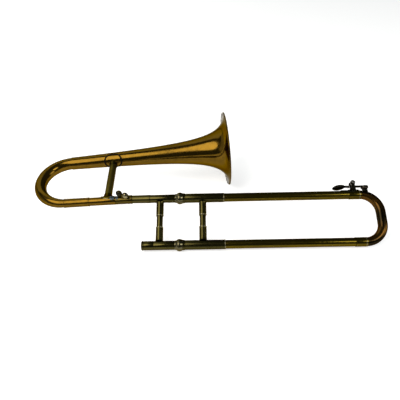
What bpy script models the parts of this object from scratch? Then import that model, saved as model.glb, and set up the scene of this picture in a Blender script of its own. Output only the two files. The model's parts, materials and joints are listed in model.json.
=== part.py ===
"""Soprano trombone in B flat, built from its separate pieces and lying on its bell rim and lower slide leg.

Units are metres. In the instrument's own plane x runs along the slide towards the end bow, from the
plane where the outer slide parts from the cork barrels. y runs from the lower slide leg towards the
bell, from the upper slide axis, and z stands up from that plane.
"""

import math

import bmesh
import bpy
from mathutils import Matrix, Vector

MM = 0.001
SIDES = 20
BOW_SIDES = 16
BELL_SIDES = 32
SMALL_SIDES = 14
MERGE = 0.000001

# Clearances
SOLDER_GAP = 0.15 * MM
SEAT_GAP = 0.3 * MM
RUNNING_GAP = 0.3 * MM

# Slide tubes
SLIDE_SPACING = 76.2 * MM
SLIDE_LENGTH = 276.8 * MM
BORE_RADIUS = 5.3 * MM
INNER_WALL = 0.4 * MM
STOCKING_WALL = 0.3 * MM
STOCKING_LENGTH = 70.0 * MM
STOCKING_RAMP = 2.0 * MM
OUTER_WALL = 0.42 * MM
INNER_TUBE_SHORT = 11.0 * MM
OUTER_TUBE_SHORT = 3.2 * MM

# Cork barrels, corks and the outer slide's end collars
BARREL_LENGTH = 12.1 * MM
BARREL_NECK_LENGTH = 2.2 * MM
BARREL_NECK_WALL = 1.35 * MM
BARREL_MOUTH_WALL = 1.1 * MM
BARREL_BULGE_WALL = 2.5 * MM
BARREL_FLOOR = 4.0 * MM
BARREL_STEPS = 6
CORK_LENGTH = 3.2 * MM
COLLAR_LENGTH = 3.6 * MM
COLLAR_WALL = 1.2 * MM

# Sleeves on the slide
HAND_SLEEVE_LENGTH = 61.0 * MM
HAND_SLEEVE_WALL = 0.5 * MM
GRIP_WALL_THIN = 0.5 * MM
GRIP_WALL_THICK = 0.85 * MM
LOWER_GRIP_WALL = 1.15 * MM
SHANK_WALL_THIN = 0.35 * MM
SHANK_WALL_THICK = 0.8 * MM
SHANK_RIM_LENGTH = 1.4 * MM
UPPER_GRIP_LENGTH = 39.1 * MM

# Mouthpiece receiver and leadpipe
RECEIVER_LENGTH = 18.8 * MM
RECEIVER_LAP = 5.5 * MM
RECEIVER_MOUTH_RADIUS = 5.05 * MM
RECEIVER_THROAT_RADIUS = 4.75 * MM
RECEIVER_BEAD_LENGTH = 3.0 * MM
RECEIVER_BEAD_WALL = 0.4 * MM
LOWER_GRIP_LENGTH = 31.5 * MM
LEADPIPE_LENGTH = 120.0 * MM
LEADPIPE_THROAT_RADIUS = 4.5 * MM
LEADPIPE_EXIT_RADIUS = 4.95 * MM
LEADPIPE_GAP = 0.1 * MM

# Slide braces
INNER_BRACE_X = -35.9 * MM
OUTER_BRACE_X = 31.1 * MM
BRACE_ROD_RADIUS = 4.85 * MM
BRACE_ROD_WALL = 0.8 * MM
BRACE_SOCKET_WALL = 0.75 * MM
BRACE_SOCKET_REACH = 29.0 * MM
BRACE_SOCKET_BEAD = 1.6 * MM
BRACE_FLARE = 1.3 * MM
BRACE_FLARE_LENGTH = 3.5 * MM

# End bow
END_BOW_RADIUS = 29.0 * MM
END_BOW_WALL = 0.6 * MM
END_BOW_SWELL = 0.6 * MM
END_BOW_STEPS = 6
BOW_FERRULE_LENGTH = 18.0 * MM
BOW_FERRULE_PAST_CURVE = 1.6 * MM
FERRULE_WALL = 0.35 * MM
FERRULE_BEAD = 1.6 * MM
FERRULE_BEAD_RISE = 0.2 * MM

# Bell joint: the socket on the slide and the tenon on the neck
JOINT_X = -80.6 * MM
NECK_TILT = math.radians(2.35)
BELL_TURN = math.radians(-22.0)
SOCKET_LENGTH = 26.0 * MM
SOCKET_WALL = 0.65 * MM
SOCKET_COLLAR_LENGTH = 6.4 * MM
SOCKET_COLLAR_RISE = 0.35 * MM
SOCKET_GROOVE = 1.2 * MM
TUBE_IN_SOCKET = 6.0 * MM
TENON_WALL = 0.55 * MM
TENON_IN_NECK = 14.0 * MM

# Locking screw
LOCK_SCREW_FROM_JOINT = 14.0 * MM
LOCK_SCREW_LEAN = math.radians(20.0)
LOCK_WING_TURN = math.radians(-28.0)
LOCK_SHANK_RADIUS = 1.5 * MM
LOCK_BOSS_RADIUS = 3.3 * MM
LOCK_BOSS_RISE = 1.6 * MM
LOCK_HUB_RADIUS = 2.7 * MM
LOCK_HUB_LENGTH = 4.2 * MM
LOCK_WING_REACH = 5.8 * MM
LOCK_WING_RISE = 3.4 * MM
LOCK_WING_LOBE = 5.2 * MM
LOCK_WING_THICKNESS = 2.8 * MM

# Neck and bell bow
NECK_LENGTH = 61.8 * MM
NECK_WALL = 0.45 * MM
NECK_FLARE = 0.4 * MM
NECK_FERRULE_LENGTH = 40.4 * MM
NECK_FERRULE_LAP = 20.0 * MM
BELL_BOW_RADIUS = 47.0 * MM
BELL_BOW_TURN = math.radians(176.8)
BELL_BOW_WALL = 0.5 * MM
BELL_BOW_STEPS = 13
BELL_BOW_LAP = 10.0 * MM

# Bell
BELL_LENGTH = 268.9 * MM
BELL_RIM_RADIUS = 63.5 * MM
BELL_FLARE_SHARE = 0.82
BELL_FLARE_SCALE = 14.3 * MM
BELL_FLARE_POWER = 0.53
BELL_LIP_LENGTH = 2.5 * MM
BELL_STATION_POWER = 2.4
BELL_WALL = 0.5 * MM
BELL_STEPS = 12
RIM_WIRE_RADIUS = 0.7 * MM
RIM_WIRE_INSET = 0.3 * MM

# Bell brace
BELL_BRACE_X = -120.2 * MM
BELL_BRACE_LEAN = math.radians(-0.8)
BELL_BRACE_ROD_RADIUS = 5.6 * MM
BELL_BRACE_ROD_WALL = 0.8 * MM
BELL_BRACE_FOOT_WALL = 0.6 * MM
BELL_BRACE_FOOT_LENGTH = 5.0 * MM
BELL_BRACE_FOOT_FLARE = 1.6 * MM
BELL_SADDLE_LENGTH = 28.6 * MM
BELL_SADDLE_WRAP = math.radians(100.0)
NECK_SADDLE_LENGTH = 22.0 * MM
NECK_SADDLE_WRAP = math.radians(75.0)
SADDLE_THICKNESS = 0.7 * MM
SADDLE_GRID = 6
SADDLE_CUT_LENGTH = 34.0 * MM
SADDLE_CUT_STEPS = 8

# Water key
KEY_PIVOT_BEFORE_CURVE = 8.5 * MM
KEY_PIVOT_Y = 19.3 * MM
KEY_PIVOT_RADIUS = 1.2 * MM
KEY_EYE_RADIUS = 3.9 * MM
KEY_EAR_THICKNESS = 1.5 * MM
KEY_EAR_HALF_WIDTH = 3.6 * MM
KEY_EAR_INSIDE = 3.8 * MM
KEY_SADDLE_LENGTH = 15.0 * MM
KEY_SADDLE_WRAP = math.radians(70.0)
KEY_BAR_TOP_Y = 15.2 * MM
KEY_BAR_THICKNESS = 2.2 * MM
KEY_BAR_WIDTH = 3.2 * MM
KEY_BAR_NEAR_SIDE = 0.25 * MM
KEY_HUB_RADIUS = 2.5 * MM
KEY_HUB_SPREAD = 4.5 * MM
KEY_FINGER_LENGTH = 20.0 * MM
KEY_FINGER_WIDTH = 10.5 * MM
KEY_FINGER_THICKNESS = 3.4 * MM
KEY_FINGER_LEAN = math.radians(8.0)
KEY_FINGER_DROP = 1.6 * MM
KEY_FINGER_REACH = 22.0 * MM
KEY_CUP_REACH = 18.5 * MM
KEY_CUP_RADIUS = 5.9 * MM
KEY_CUP_TOP_RADIUS = 4.7 * MM
KEY_CUP_WALL = 0.7 * MM
KEY_CUP_HEIGHT = 3.4 * MM
KEY_CORK_HEIGHT = 3.0 * MM
KEY_NIPPLE_RADIUS = 4.0 * MM
KEY_NIPPLE_FOOT_RADIUS = 4.6 * MM
KEY_NIPPLE_EDGE = 0.5 * MM
KEY_NIPPLE_BORE = 2.2 * MM
KEY_SCREW_HEAD_RADIUS = 2.3 * MM
KEY_SCREW_TOP_RADIUS = 1.9 * MM
KEY_SCREW_HEAD_LENGTH = 1.4 * MM
KEY_SPRING_WIRE = 0.35 * MM
KEY_SPRING_RADIUS = 2.4 * MM
KEY_SPRING_TURNS = 3
KEY_SPRING_STEPS = 8
KEY_SPRING_SIDES = 6
KEY_SPRING_LEG = 7.7 * MM
KEY_SPRING_HOOK = 2.4 * MM

# Radii that follow from the bore
INNER_RADIUS = BORE_RADIUS + INNER_WALL
STOCKING_RADIUS = INNER_RADIUS + STOCKING_WALL
OUTER_BORE = STOCKING_RADIUS + RUNNING_GAP
OUTER_RADIUS = OUTER_BORE + OUTER_WALL
HAND_SLEEVE_BORE = OUTER_RADIUS + SOLDER_GAP
HAND_SLEEVE_RADIUS = HAND_SLEEVE_BORE + HAND_SLEEVE_WALL
INNER_SLEEVE_BORE = INNER_RADIUS + SOLDER_GAP
BARREL_MOUTH_BORE = OUTER_RADIUS + RUNNING_GAP
BARREL_RADIUS = BARREL_MOUTH_BORE + BARREL_BULGE_WALL
LOWER_GRIP_RADIUS = INNER_SLEEVE_BORE + LOWER_GRIP_WALL
UPPER_GRIP_RADIUS = INNER_SLEEVE_BORE + GRIP_WALL_THICK
TENON_RADIUS = BORE_RADIUS + TENON_WALL
SOCKET_BORE = TENON_RADIUS + RUNNING_GAP
SOCKET_RADIUS = SOCKET_BORE + SOCKET_WALL
NECK_BORE = TENON_RADIUS + SOLDER_GAP
NECK_RADIUS = NECK_BORE + NECK_WALL
NECK_END_RADIUS = NECK_RADIUS + NECK_FLARE
BOW_FERRULE_BORE = OUTER_RADIUS + SEAT_GAP
BOW_FERRULE_RADIUS = BOW_FERRULE_BORE + FERRULE_WALL

# Stations along the slide
BARREL_BACK = -BARREL_LENGTH
GRIP_END = BARREL_BACK - SEAT_GAP
UPPER_GRIP_START = GRIP_END - UPPER_GRIP_LENGTH
SHANK_END = UPPER_GRIP_START - SEAT_GAP
SHANK_START = JOINT_X + SEAT_GAP + (SOCKET_RADIUS + SOCKET_COLLAR_RISE) * math.sin(NECK_TILT)
LOWER_GRIP_START = GRIP_END - LOWER_GRIP_LENGTH
RECEIVER_END = LOWER_GRIP_START - SEAT_GAP
RECEIVER_START = RECEIVER_END - RECEIVER_LENGTH
LOWER_TUBE_START = RECEIVER_END - RECEIVER_LAP
CORK_FRONT = BARREL_BACK + BARREL_FLOOR + SEAT_GAP + CORK_LENGTH
OUTER_TUBE_START = CORK_FRONT + SEAT_GAP
HAND_SLEEVE_START = COLLAR_LENGTH + 2 * SEAT_GAP
INNER_TUBE_END = SLIDE_LENGTH - INNER_TUBE_SHORT
OUTER_TUBE_END = SLIDE_LENGTH - OUTER_TUBE_SHORT
BOW_FERRULE_END = SLIDE_LENGTH + BOW_FERRULE_PAST_CURVE
KEY_PIVOT_X = SLIDE_LENGTH - KEY_PIVOT_BEFORE_CURVE

# Stations along the neck, from the bell joint
SOCKET_MOUTH = -SOCKET_LENGTH
NECK_END = SOCKET_MOUTH - SEAT_GAP
NECK_START = NECK_END - NECK_LENGTH
TENON_START = NECK_END - TENON_IN_NECK
TENON_END = -TUBE_IN_SOCKET - 2 * SEAT_GAP
BOW_TAIL_START = NECK_START - SEAT_GAP
NECK_FERRULE_END = NECK_START + NECK_FERRULE_LAP
NECK_FERRULE_START = NECK_FERRULE_END - NECK_FERRULE_LENGTH
BELL_BOW_START = NECK_FERRULE_START + SEAT_GAP
BELL_TILT = math.pi - BELL_BOW_TURN
BOW_TAIL_RADIUS = NECK_RADIUS
BELL_FLARE_RADIUS = BELL_RIM_RADIUS * BELL_FLARE_SHARE


def bell_radius(from_rim):
    """Outside radius of the bell at a distance back from its rim: a long flare and a wide, flat lip."""
    flare = BELL_FLARE_RADIUS * (1 + from_rim / BELL_FLARE_SCALE) ** -BELL_FLARE_POWER
    return flare + (BELL_RIM_RADIUS - BELL_FLARE_RADIUS) * math.exp(-from_rim / BELL_LIP_LENGTH)


BOW_HEAD_RADIUS = bell_radius(BELL_LENGTH) - BELL_WALL - SOLDER_GAP


# Scene helpers


def clear_scene():
    for obj in list(bpy.data.objects):
        bpy.data.objects.remove(obj)


def collection(name):
    made = bpy.data.collections.new(name)
    bpy.context.scene.collection.children.link(made)
    return made


def metal(name, colour, roughness, metallic=1.0):
    made = bpy.data.materials.new(name)
    made.use_nodes = True
    shader = made.node_tree.nodes["Principled BSDF"]
    shader.inputs["Base Color"].default_value = (*colour, 1.0)
    shader.inputs["Roughness"].default_value = roughness
    shader.inputs["Metallic"].default_value = metallic
    return made


def empty(name, parent=None, location=(0, 0, 0), rotation=(0, 0, 0)):
    made = bpy.data.objects.new(name, None)
    PARTS.objects.link(made)
    made.parent = parent
    made.location = location
    made.rotation_euler = rotation
    return made


def placed(obj, parent, location=(0, 0, 0), along="x", lean=0.0):
    """Turns the piece's own Z along an axis of its parent, leaning about the parent's z."""
    turns = {"x": (0, math.pi / 2, lean), "y": (-math.pi / 2, 0, lean), "z": (0, 0, lean)}
    obj.parent = parent
    obj.location = location
    obj.rotation_euler = turns[along]
    return obj


def keep(obj, material):
    PARTS.objects.link(obj)
    obj.data.materials.append(material)
    return obj


def cutter(obj):
    CUTTERS.objects.link(obj)
    obj.hide_render = True
    obj.display_type = "WIRE"
    return obj


def combine(obj, other, operation):
    change = obj.modifiers.new(operation.title(), "BOOLEAN")
    change.operation = operation
    change.object = other
    return obj


# Shape helpers


def spun(obj, sides):
    """Turns a profile round the object's own Z."""
    screw = obj.modifiers.new("Turn", "SCREW")
    screw.steps = sides
    screw.render_steps = sides
    screw.use_merge_vertices = True
    screw.merge_threshold = MERGE
    return obj


def walled(obj, thickness, offset):
    """Gives a sheet its thickness, inwards for offset -1 and outwards for 1."""
    shell = obj.modifiers.new("Wall", "SOLIDIFY")
    shell.thickness = thickness
    shell.offset = offset
    shell.use_even_offset = True
    return obj


def turned(name, outer, inner=None, sides=SIDES):
    """A turned piece along its own Z. outer and inner list (z, radius) from low end to high end."""
    outline = list(reversed(outer))
    if inner is None:
        outline = [(outer[-1][0], 0.0)] + outline + [(outer[0][0], 0.0)]
    else:
        outline += inner
    edges = [(i, i + 1) for i in range(len(outline) - 1)]
    if inner is not None:
        edges.append((len(outline) - 1, 0))
    mesh = bpy.data.meshes.new(name)
    mesh.from_pydata([(radius, 0.0, z) for z, radius in outline], edges, [])
    return spun(bpy.data.objects.new(name, mesh), sides)


def pipe(name, start, end, bore, radius, sides=SIDES):
    return turned(name, [(start, radius), (end, radius)], [(start, bore), (end, bore)], sides)


def beaded_pipe(name, start, end, bore, radius):
    """A sleeve with a small raised bead at each end."""
    bead = radius + FERRULE_BEAD_RISE
    outer = [(start, bead), (start + FERRULE_BEAD, bead), (start + FERRULE_BEAD, radius)]
    outer += [(end - FERRULE_BEAD, radius), (end - FERRULE_BEAD, bead), (end, bead)]
    return turned(name, outer, [(start, bore), (end, bore)])


def as_mesh(obj):
    """Makes a curve object a welded mesh object of the same name."""
    bpy.context.scene.collection.objects.link(obj)
    bpy.context.view_layer.update()
    name, curve = obj.name, obj.data
    mesh = bpy.data.meshes.new_from_object(obj.evaluated_get(bpy.context.evaluated_depsgraph_get()))
    bpy.data.objects.remove(obj)
    bpy.data.curves.remove(curve)
    work = bmesh.new()
    work.from_mesh(mesh)
    bmesh.ops.remove_doubles(work, verts=work.verts, dist=MERGE)
    bmesh.ops.recalc_face_normals(work, faces=work.faces)
    work.to_mesh(mesh)
    work.free()
    mesh.shade_smooth()
    return bpy.data.objects.new(name, mesh)


def swept(name, path, radii, sides=BOW_SIDES, caps=True):
    """A tube along a path, with its own radius at each point."""
    curve = bpy.data.curves.new(name, "CURVE")
    curve.dimensions = "3D"
    curve.bevel_depth = 1.0
    curve.bevel_resolution = (sides - 4) // 2
    curve.use_fill_caps = caps
    spline = curve.splines.new("POLY")
    spline.points.add(len(path) - 1)
    for point, position, radius in zip(spline.points, path, radii):
        point.co = (*position, 1.0)
        point.radius = radius
    return as_mesh(bpy.data.objects.new(name, curve))


def swept_shell(name, path, radii, wall):
    """A bent tube of sheet metal, open at both ends."""
    return walled(swept(name, path, radii, caps=False), wall, -1.0)


def plate(name, outline, thickness):
    """A flat outline in the piece's own XY plane, with its thickness shared to both sides."""
    curve = bpy.data.curves.new(name, "CURVE")
    curve.dimensions = "2D"
    curve.fill_mode = "BOTH"
    curve.extrude = thickness / 2
    spline = curve.splines.new("POLY")
    spline.points.add(len(outline) - 1)
    for point, (x, y) in zip(spline.points, outline):
        point.co = (x, y, 0.0, 1.0)
    spline.use_cyclic_u = True
    return as_mesh(bpy.data.objects.new(name, curve))


def arc(centre, radius, start, end, steps):
    """Points on an arc, angles in degrees."""
    angles = [math.radians(start + (end - start) * i / steps) for i in range(steps + 1)]
    return [(centre[0] + radius * math.cos(a), centre[1] + radius * math.sin(a)) for a in angles]


def ellipsoid(name, half):
    work = bmesh.new()
    shape = Matrix.Diagonal((*half, 1.0))
    rings = SMALL_SIDES // 2
    bmesh.ops.create_uvsphere(work, u_segments=SMALL_SIDES, v_segments=rings, radius=1.0, matrix=shape)
    mesh = bpy.data.meshes.new(name)
    work.to_mesh(mesh)
    work.free()
    mesh.shade_smooth()
    return bpy.data.objects.new(name, mesh)


def saddle(name, radius_at, length, wrap, facing):
    """An oval plate wrapped on a tube along its own Z. radius_at gives the tube's radius there."""
    work = bmesh.new()
    bmesh.ops.create_grid(work, x_segments=SADDLE_GRID, y_segments=SADDLE_GRID, size=1.0)
    for vert in work.verts:
        x, y = vert.co.x, vert.co.y
        z = y * math.sqrt(1 - x * x / 2) * length / 2
        angle = facing + x * math.sqrt(1 - y * y / 2) * wrap
        radius = (radius_at(z) + SEAT_GAP) / math.cos(wrap / SADDLE_GRID)
        vert.co = (radius * math.cos(angle), radius * math.sin(angle), z)
    mesh = bpy.data.meshes.new(name)
    work.to_mesh(mesh)
    work.free()
    mesh.shade_smooth()
    return walled(bpy.data.objects.new(name, mesh), SADDLE_THICKNESS, 1.0)


# Inner slide


def inner_tubes(root):
    def tube(name, start, y):
        ramp = INNER_TUBE_END - STOCKING_LENGTH
        outer = [(start, INNER_RADIUS), (ramp - STOCKING_RAMP, INNER_RADIUS)]
        outer += [(ramp, STOCKING_RADIUS), (INNER_TUBE_END, STOCKING_RADIUS)]
        made = turned(name, outer, [(start, BORE_RADIUS), (INNER_TUBE_END, BORE_RADIUS)])
        keep(placed(made, root, (0, y, 0)), DULL_BRASS)

    tube("upper_inner_tube", JOINT_X - TUBE_IN_SOCKET, 0)
    tube("lower_inner_tube", LOWER_TUBE_START, -SLIDE_SPACING)
    pipe_start = LOWER_TUBE_START
    pipe_end = LOWER_TUBE_START + LEADPIPE_LENGTH
    radius = BORE_RADIUS - LEADPIPE_GAP
    inner = [(pipe_start, LEADPIPE_THROAT_RADIUS), (pipe_end, LEADPIPE_EXIT_RADIUS)]
    leadpipe = turned("leadpipe", [(pipe_start, radius), (pipe_end, radius)], inner)
    keep(placed(leadpipe, root, (0, -SLIDE_SPACING, 0)), DULL_BRASS)


def slide_sleeves(root):
    bore = INNER_SLEEVE_BORE
    thin = bore + SHANK_WALL_THIN
    thick = bore + SHANK_WALL_THICK
    rim = SHANK_END - SHANK_RIM_LENGTH
    rim_radius = thick + FERRULE_BEAD_RISE
    outer = [(SHANK_START, thin), (rim, thick), (rim, rim_radius), (SHANK_END, rim_radius)]
    shank = turned("socket_shank", outer, [(SHANK_START, bore), (SHANK_END, bore)])
    keep(placed(shank, root), DULL_BRASS)

    outer = [(UPPER_GRIP_START, bore + GRIP_WALL_THIN), (GRIP_END, UPPER_GRIP_RADIUS)]
    grip = turned("upper_grip_sleeve", outer, [(UPPER_GRIP_START, bore), (GRIP_END, bore)])
    keep(placed(grip, root), DULL_BRASS)

    lower = pipe("lower_grip_sleeve", LOWER_GRIP_START, GRIP_END, bore, LOWER_GRIP_RADIUS)
    keep(placed(lower, root, (0, -SLIDE_SPACING, 0)), DULL_BRASS)


def mouthpiece_receiver(root):
    """A tapered socket for the mouthpiece shank, with a rounded bead at its mouth."""
    radius = LOWER_GRIP_RADIUS
    bead = radius + RECEIVER_BEAD_WALL
    half = RECEIVER_BEAD_LENGTH / 2
    curve = arc((RECEIVER_START + half, bead - half), half, 180, 45, 3)
    outer = curve + [(RECEIVER_START + RECEIVER_BEAD_LENGTH, radius), (RECEIVER_END, radius)]
    step = LOWER_TUBE_START - SEAT_GAP
    inner = [(RECEIVER_START, RECEIVER_MOUTH_RADIUS), (step, RECEIVER_THROAT_RADIUS)]
    inner += [(step, INNER_SLEEVE_BORE), (RECEIVER_END, INNER_SLEEVE_BORE)]
    made = turned("mouthpiece_receiver", outer, inner)
    keep(placed(made, root, (0, -SLIDE_SPACING, 0)), BRASS)


def cork_barrels(root):
    """Ball-shaped barrels on the inner slide, open towards the outer slide, with a cork ring in each."""
    neck = INNER_SLEEVE_BORE + BARREL_NECK_WALL
    mouth = BARREL_MOUTH_BORE + BARREL_MOUTH_WALL
    ball_start = BARREL_BACK + BARREL_NECK_LENGTH
    outer = [(BARREL_BACK, neck), (ball_start, neck)]
    for i in range(1, BARREL_STEPS + 1):
        share = i / BARREL_STEPS
        swell = math.sin(math.pi * share)
        base = neck + (mouth - neck) * share
        outer.append((ball_start * (1 - share), base + (BARREL_RADIUS - (neck + mouth) / 2) * swell))
    floor = BARREL_BACK + BARREL_FLOOR
    inner = [(BARREL_BACK, INNER_SLEEVE_BORE), (floor, INNER_SLEEVE_BORE)]
    inner += [(floor, BARREL_MOUTH_BORE), (0.0, BARREL_MOUTH_BORE)]
    for side, y in (("upper", 0.0), ("lower", -SLIDE_SPACING)):
        barrel = turned(f"{side}_cork_barrel", outer, inner)
        keep(placed(barrel, root, (0, y, 0)), BRASS)
        cork_start = floor + SEAT_GAP
        cork_radius = BARREL_MOUTH_BORE - SEAT_GAP
        cork = pipe(f"{side}_cork", cork_start, CORK_FRONT, INNER_RADIUS + SEAT_GAP, cork_radius)
        keep(placed(cork, root, (0, y, 0)), CORK)


def brace(parent, name, x, upper_radius, lower_radius):
    """A rod in two sockets between the slide legs. Each socket's foot is cut to the sleeve it stands on."""
    bore = BRACE_ROD_RADIUS + SOLDER_GAP
    radius = bore + BRACE_SOCKET_WALL
    bead = radius + FERRULE_BEAD_RISE
    feet = (("upper", 0.0, upper_radius, -1), ("lower", -SLIDE_SPACING, lower_radius, 1))
    for side, y, sleeve, way in feet:
        reach = BRACE_SOCKET_REACH
        flare_end = sleeve + BRACE_FLARE_LENGTH
        outer = [(sleeve / 2, radius + BRACE_FLARE), (sleeve, radius + BRACE_FLARE)]
        outer += [(flare_end, radius), (reach - BRACE_SOCKET_BEAD, radius)]
        outer += [(reach - BRACE_SOCKET_BEAD, bead), (reach, bead)]
        inner = [(sleeve / 2, bore), (reach, bore)]
        if way < 0:
            outer = [(-z, r) for z, r in reversed(outer)]
            inner = [(-z, r) for z, r in reversed(inner)]
        foot = placed(turned(f"{name}_{side}_foot", outer, inner), parent, (x, y, 0), "y")
        half = radius + 2 * BRACE_FLARE
        tube = turned(f"{name}_{side}_cut", [(-half, sleeve + SEAT_GAP), (half, sleeve + SEAT_GAP)])
        placed(cutter(tube), parent, (x, y, 0))
        keep(combine(foot, tube, "DIFFERENCE"), DULL_BRASS)
    low = -SLIDE_SPACING + lower_radius + SEAT_GAP
    high = -upper_radius - SEAT_GAP
    rod = pipe(f"{name}_rod", low, high, BRACE_ROD_RADIUS - BRACE_ROD_WALL, BRACE_ROD_RADIUS)
    keep(placed(rod, parent, (x, 0, 0), "y"), DULL_BRASS)


# Bell joint


def bell_socket(axis):
    """The socket for the bell's tenon, with its end collar and the boss that the locking screw runs in."""
    radius = SOCKET_RADIUS
    collar = radius + SOCKET_COLLAR_RISE
    middle = -SOCKET_COLLAR_LENGTH / 2
    outer = [(SOCKET_MOUTH, radius), (-SOCKET_COLLAR_LENGTH, radius), (-SOCKET_COLLAR_LENGTH, collar)]
    outer += [(middle - SOCKET_GROOVE / 2, collar), (middle - SOCKET_GROOVE / 2, radius)]
    outer += [(middle + SOCKET_GROOVE / 2, radius), (middle + SOCKET_GROOVE / 2, collar), (0.0, collar)]
    inner = [(SOCKET_MOUTH, SOCKET_BORE), (0.0, SOCKET_BORE)]
    socket = placed(turned("bell_socket", outer, inner), axis)

    screw_axis = empty("boss_axis", axis, (-LOCK_SCREW_FROM_JOINT, 0, 0), (-LOCK_SCREW_LEAN, 0, 0))
    top = SOCKET_RADIUS + LOCK_BOSS_RISE
    inside = (SOCKET_BORE + SOCKET_RADIUS) / 2
    boss = turned("boss_solid", [(inside, LOCK_BOSS_RADIUS), (top, LOCK_BOSS_RADIUS)], sides=SMALL_SIDES)
    placed(cutter(boss), screw_axis, along="z")
    hole_radius = LOCK_SHANK_RADIUS + RUNNING_GAP
    hole = turned("boss_hole", [(TENON_RADIUS, hole_radius), (2 * top, hole_radius)], sides=SMALL_SIDES)
    placed(cutter(hole), screw_axis, along="z")
    combine(socket, boss, "UNION")
    clear = turned("socket_hole", [(2 * SOCKET_MOUTH, SOCKET_BORE), (-SOCKET_MOUTH, SOCKET_BORE)])
    placed(cutter(clear), axis)
    combine(socket, clear, "DIFFERENCE")
    keep(combine(socket, hole, "DIFFERENCE"), BRASS)


def lock_screw(axis):
    """A wing screw, its own Z out of the socket: shank, hub and two round wings."""
    pivot = empty("lock_screw", axis, (-LOCK_SCREW_FROM_JOINT, 0, 0), (-LOCK_SCREW_LEAN, 0, 0))
    hub_start = SOCKET_RADIUS + LOCK_BOSS_RISE + SEAT_GAP
    hub_end = hub_start + LOCK_HUB_LENGTH
    outer = [(TENON_RADIUS + SEAT_GAP, LOCK_SHANK_RADIUS), (hub_start, LOCK_SHANK_RADIUS)]
    outer += [(hub_start, LOCK_HUB_RADIUS), (hub_end, LOCK_HUB_RADIUS - LOCK_SHANK_RADIUS / 3)]
    screw = placed(turned("lock_wing_screw", outer, sides=SMALL_SIDES), pivot, along="z")
    low = hub_start + LOCK_HUB_RADIUS / 3
    lobe_y = low + LOCK_WING_RISE
    lobe = arc((LOCK_WING_REACH, lobe_y), LOCK_WING_LOBE, -70, 140, 9)
    outline = [(-LOCK_HUB_RADIUS, low), (LOCK_HUB_RADIUS, low)] + lobe
    outline += [(0.0, hub_end)] + [(-x, y) for x, y in reversed(lobe)]
    wings = plate("wing_plate", outline, LOCK_WING_THICKNESS)
    cutter(wings).parent = pivot
    wings.rotation_euler = (math.pi / 2, 0, LOCK_WING_TURN)
    keep(combine(screw, wings, "UNION"), BRASS)


# Bell section


def bell_axis_point():
    """Where the bell bow ends and the bell's axis starts, from the bell joint."""
    x = BELL_BOW_START - BELL_BOW_RADIUS * math.sin(BELL_TILT)
    return Vector((x, BELL_BOW_RADIUS * (1 + math.cos(BELL_TILT)), 0))


def bell_direction():
    return Vector((math.cos(BELL_TILT), math.sin(BELL_TILT), 0))


def rim_centre():
    return bell_axis_point() + bell_direction() * BELL_LENGTH


def neck_pieces(section):
    tenon = pipe("neck_tenon", TENON_START, TENON_END, BORE_RADIUS, TENON_RADIUS)
    keep(placed(tenon, section), DULL_BRASS)
    outer = [(NECK_START, NECK_RADIUS), (NECK_END, NECK_END_RADIUS)]
    neck = turned("neck_pipe", outer, [(NECK_START, NECK_BORE), (NECK_END, NECK_BORE)])
    keep(placed(neck, section), BRASS)
    bore = neck_radius(NECK_FERRULE_END) + SOLDER_GAP
    radius = bore + FERRULE_WALL
    ferrule = beaded_pipe("neck_ferrule", NECK_FERRULE_START, NECK_FERRULE_END, bore, radius)
    keep(placed(ferrule, section), BRASS)


def neck_radius(x):
    share = (x - NECK_START) / NECK_LENGTH
    return NECK_RADIUS + NECK_FLARE * share


def bell_bow(section):
    """A conical bow that turns back over the player's shoulder, with a straight lap at each end."""
    path = [Vector((BOW_TAIL_START, 0, 0))]
    radii = [BOW_TAIL_RADIUS]
    for i in range(BELL_BOW_STEPS + 1):
        share = i / BELL_BOW_STEPS
        turn = BELL_BOW_TURN * share
        x = BELL_BOW_START - BELL_BOW_RADIUS * math.sin(turn)
        path.append(Vector((x, BELL_BOW_RADIUS * (1 - math.cos(turn)), 0)))
        radii.append(BOW_HEAD_RADIUS - (BOW_HEAD_RADIUS - BOW_TAIL_RADIUS) * (1 - share) ** 3)
    path.append(path[-1] + bell_direction() * BELL_BOW_LAP)
    radii.append(radii[-1])
    bow = swept_shell("bell_bow", path, radii, BELL_BOW_WALL)
    bow.parent = section
    keep(bow, BRASS)


def bell(section):
    """The flare in thin sheet, and the wire ring behind its edge."""
    mesh = bpy.data.meshes.new("bell_flare")
    shares = [i / BELL_STEPS for i in range(BELL_STEPS + 1)]
    stations = [BELL_LENGTH * share**BELL_STATION_POWER for share in shares]
    edges = [(i, i + 1) for i in range(BELL_STEPS)]
    mesh.from_pydata([(bell_radius(s), 0.0, -s) for s in stations], edges, [])
    flare = walled(spun(bpy.data.objects.new("bell_flare", mesh), BELL_SIDES), BELL_WALL, -1.0)
    keep(placed(flare, section, rim_centre(), lean=BELL_TILT), BRASS)

    wire_ring = BELL_RIM_RADIUS - RIM_WIRE_INSET - RIM_WIRE_RADIUS
    lip_rise = (BELL_RIM_RADIUS - bell_radius(stations[1])) / stations[1]
    sheet_back = (RIM_WIRE_INSET + 2 * RIM_WIRE_RADIUS) / lip_rise
    around = arc((0.0, wire_ring), RIM_WIRE_RADIUS, 180, 0, 3)
    under = arc((0.0, wire_ring), RIM_WIRE_RADIUS, 180, 360, 3)
    wire = turned("bell_rim_wire", around, under[1:-1], BELL_SIDES)
    back = rim_centre() - bell_direction() * (sheet_back + RIM_WIRE_RADIUS + SEAT_GAP)
    keep(placed(wire, section, back, lean=BELL_TILT), BRASS)


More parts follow.
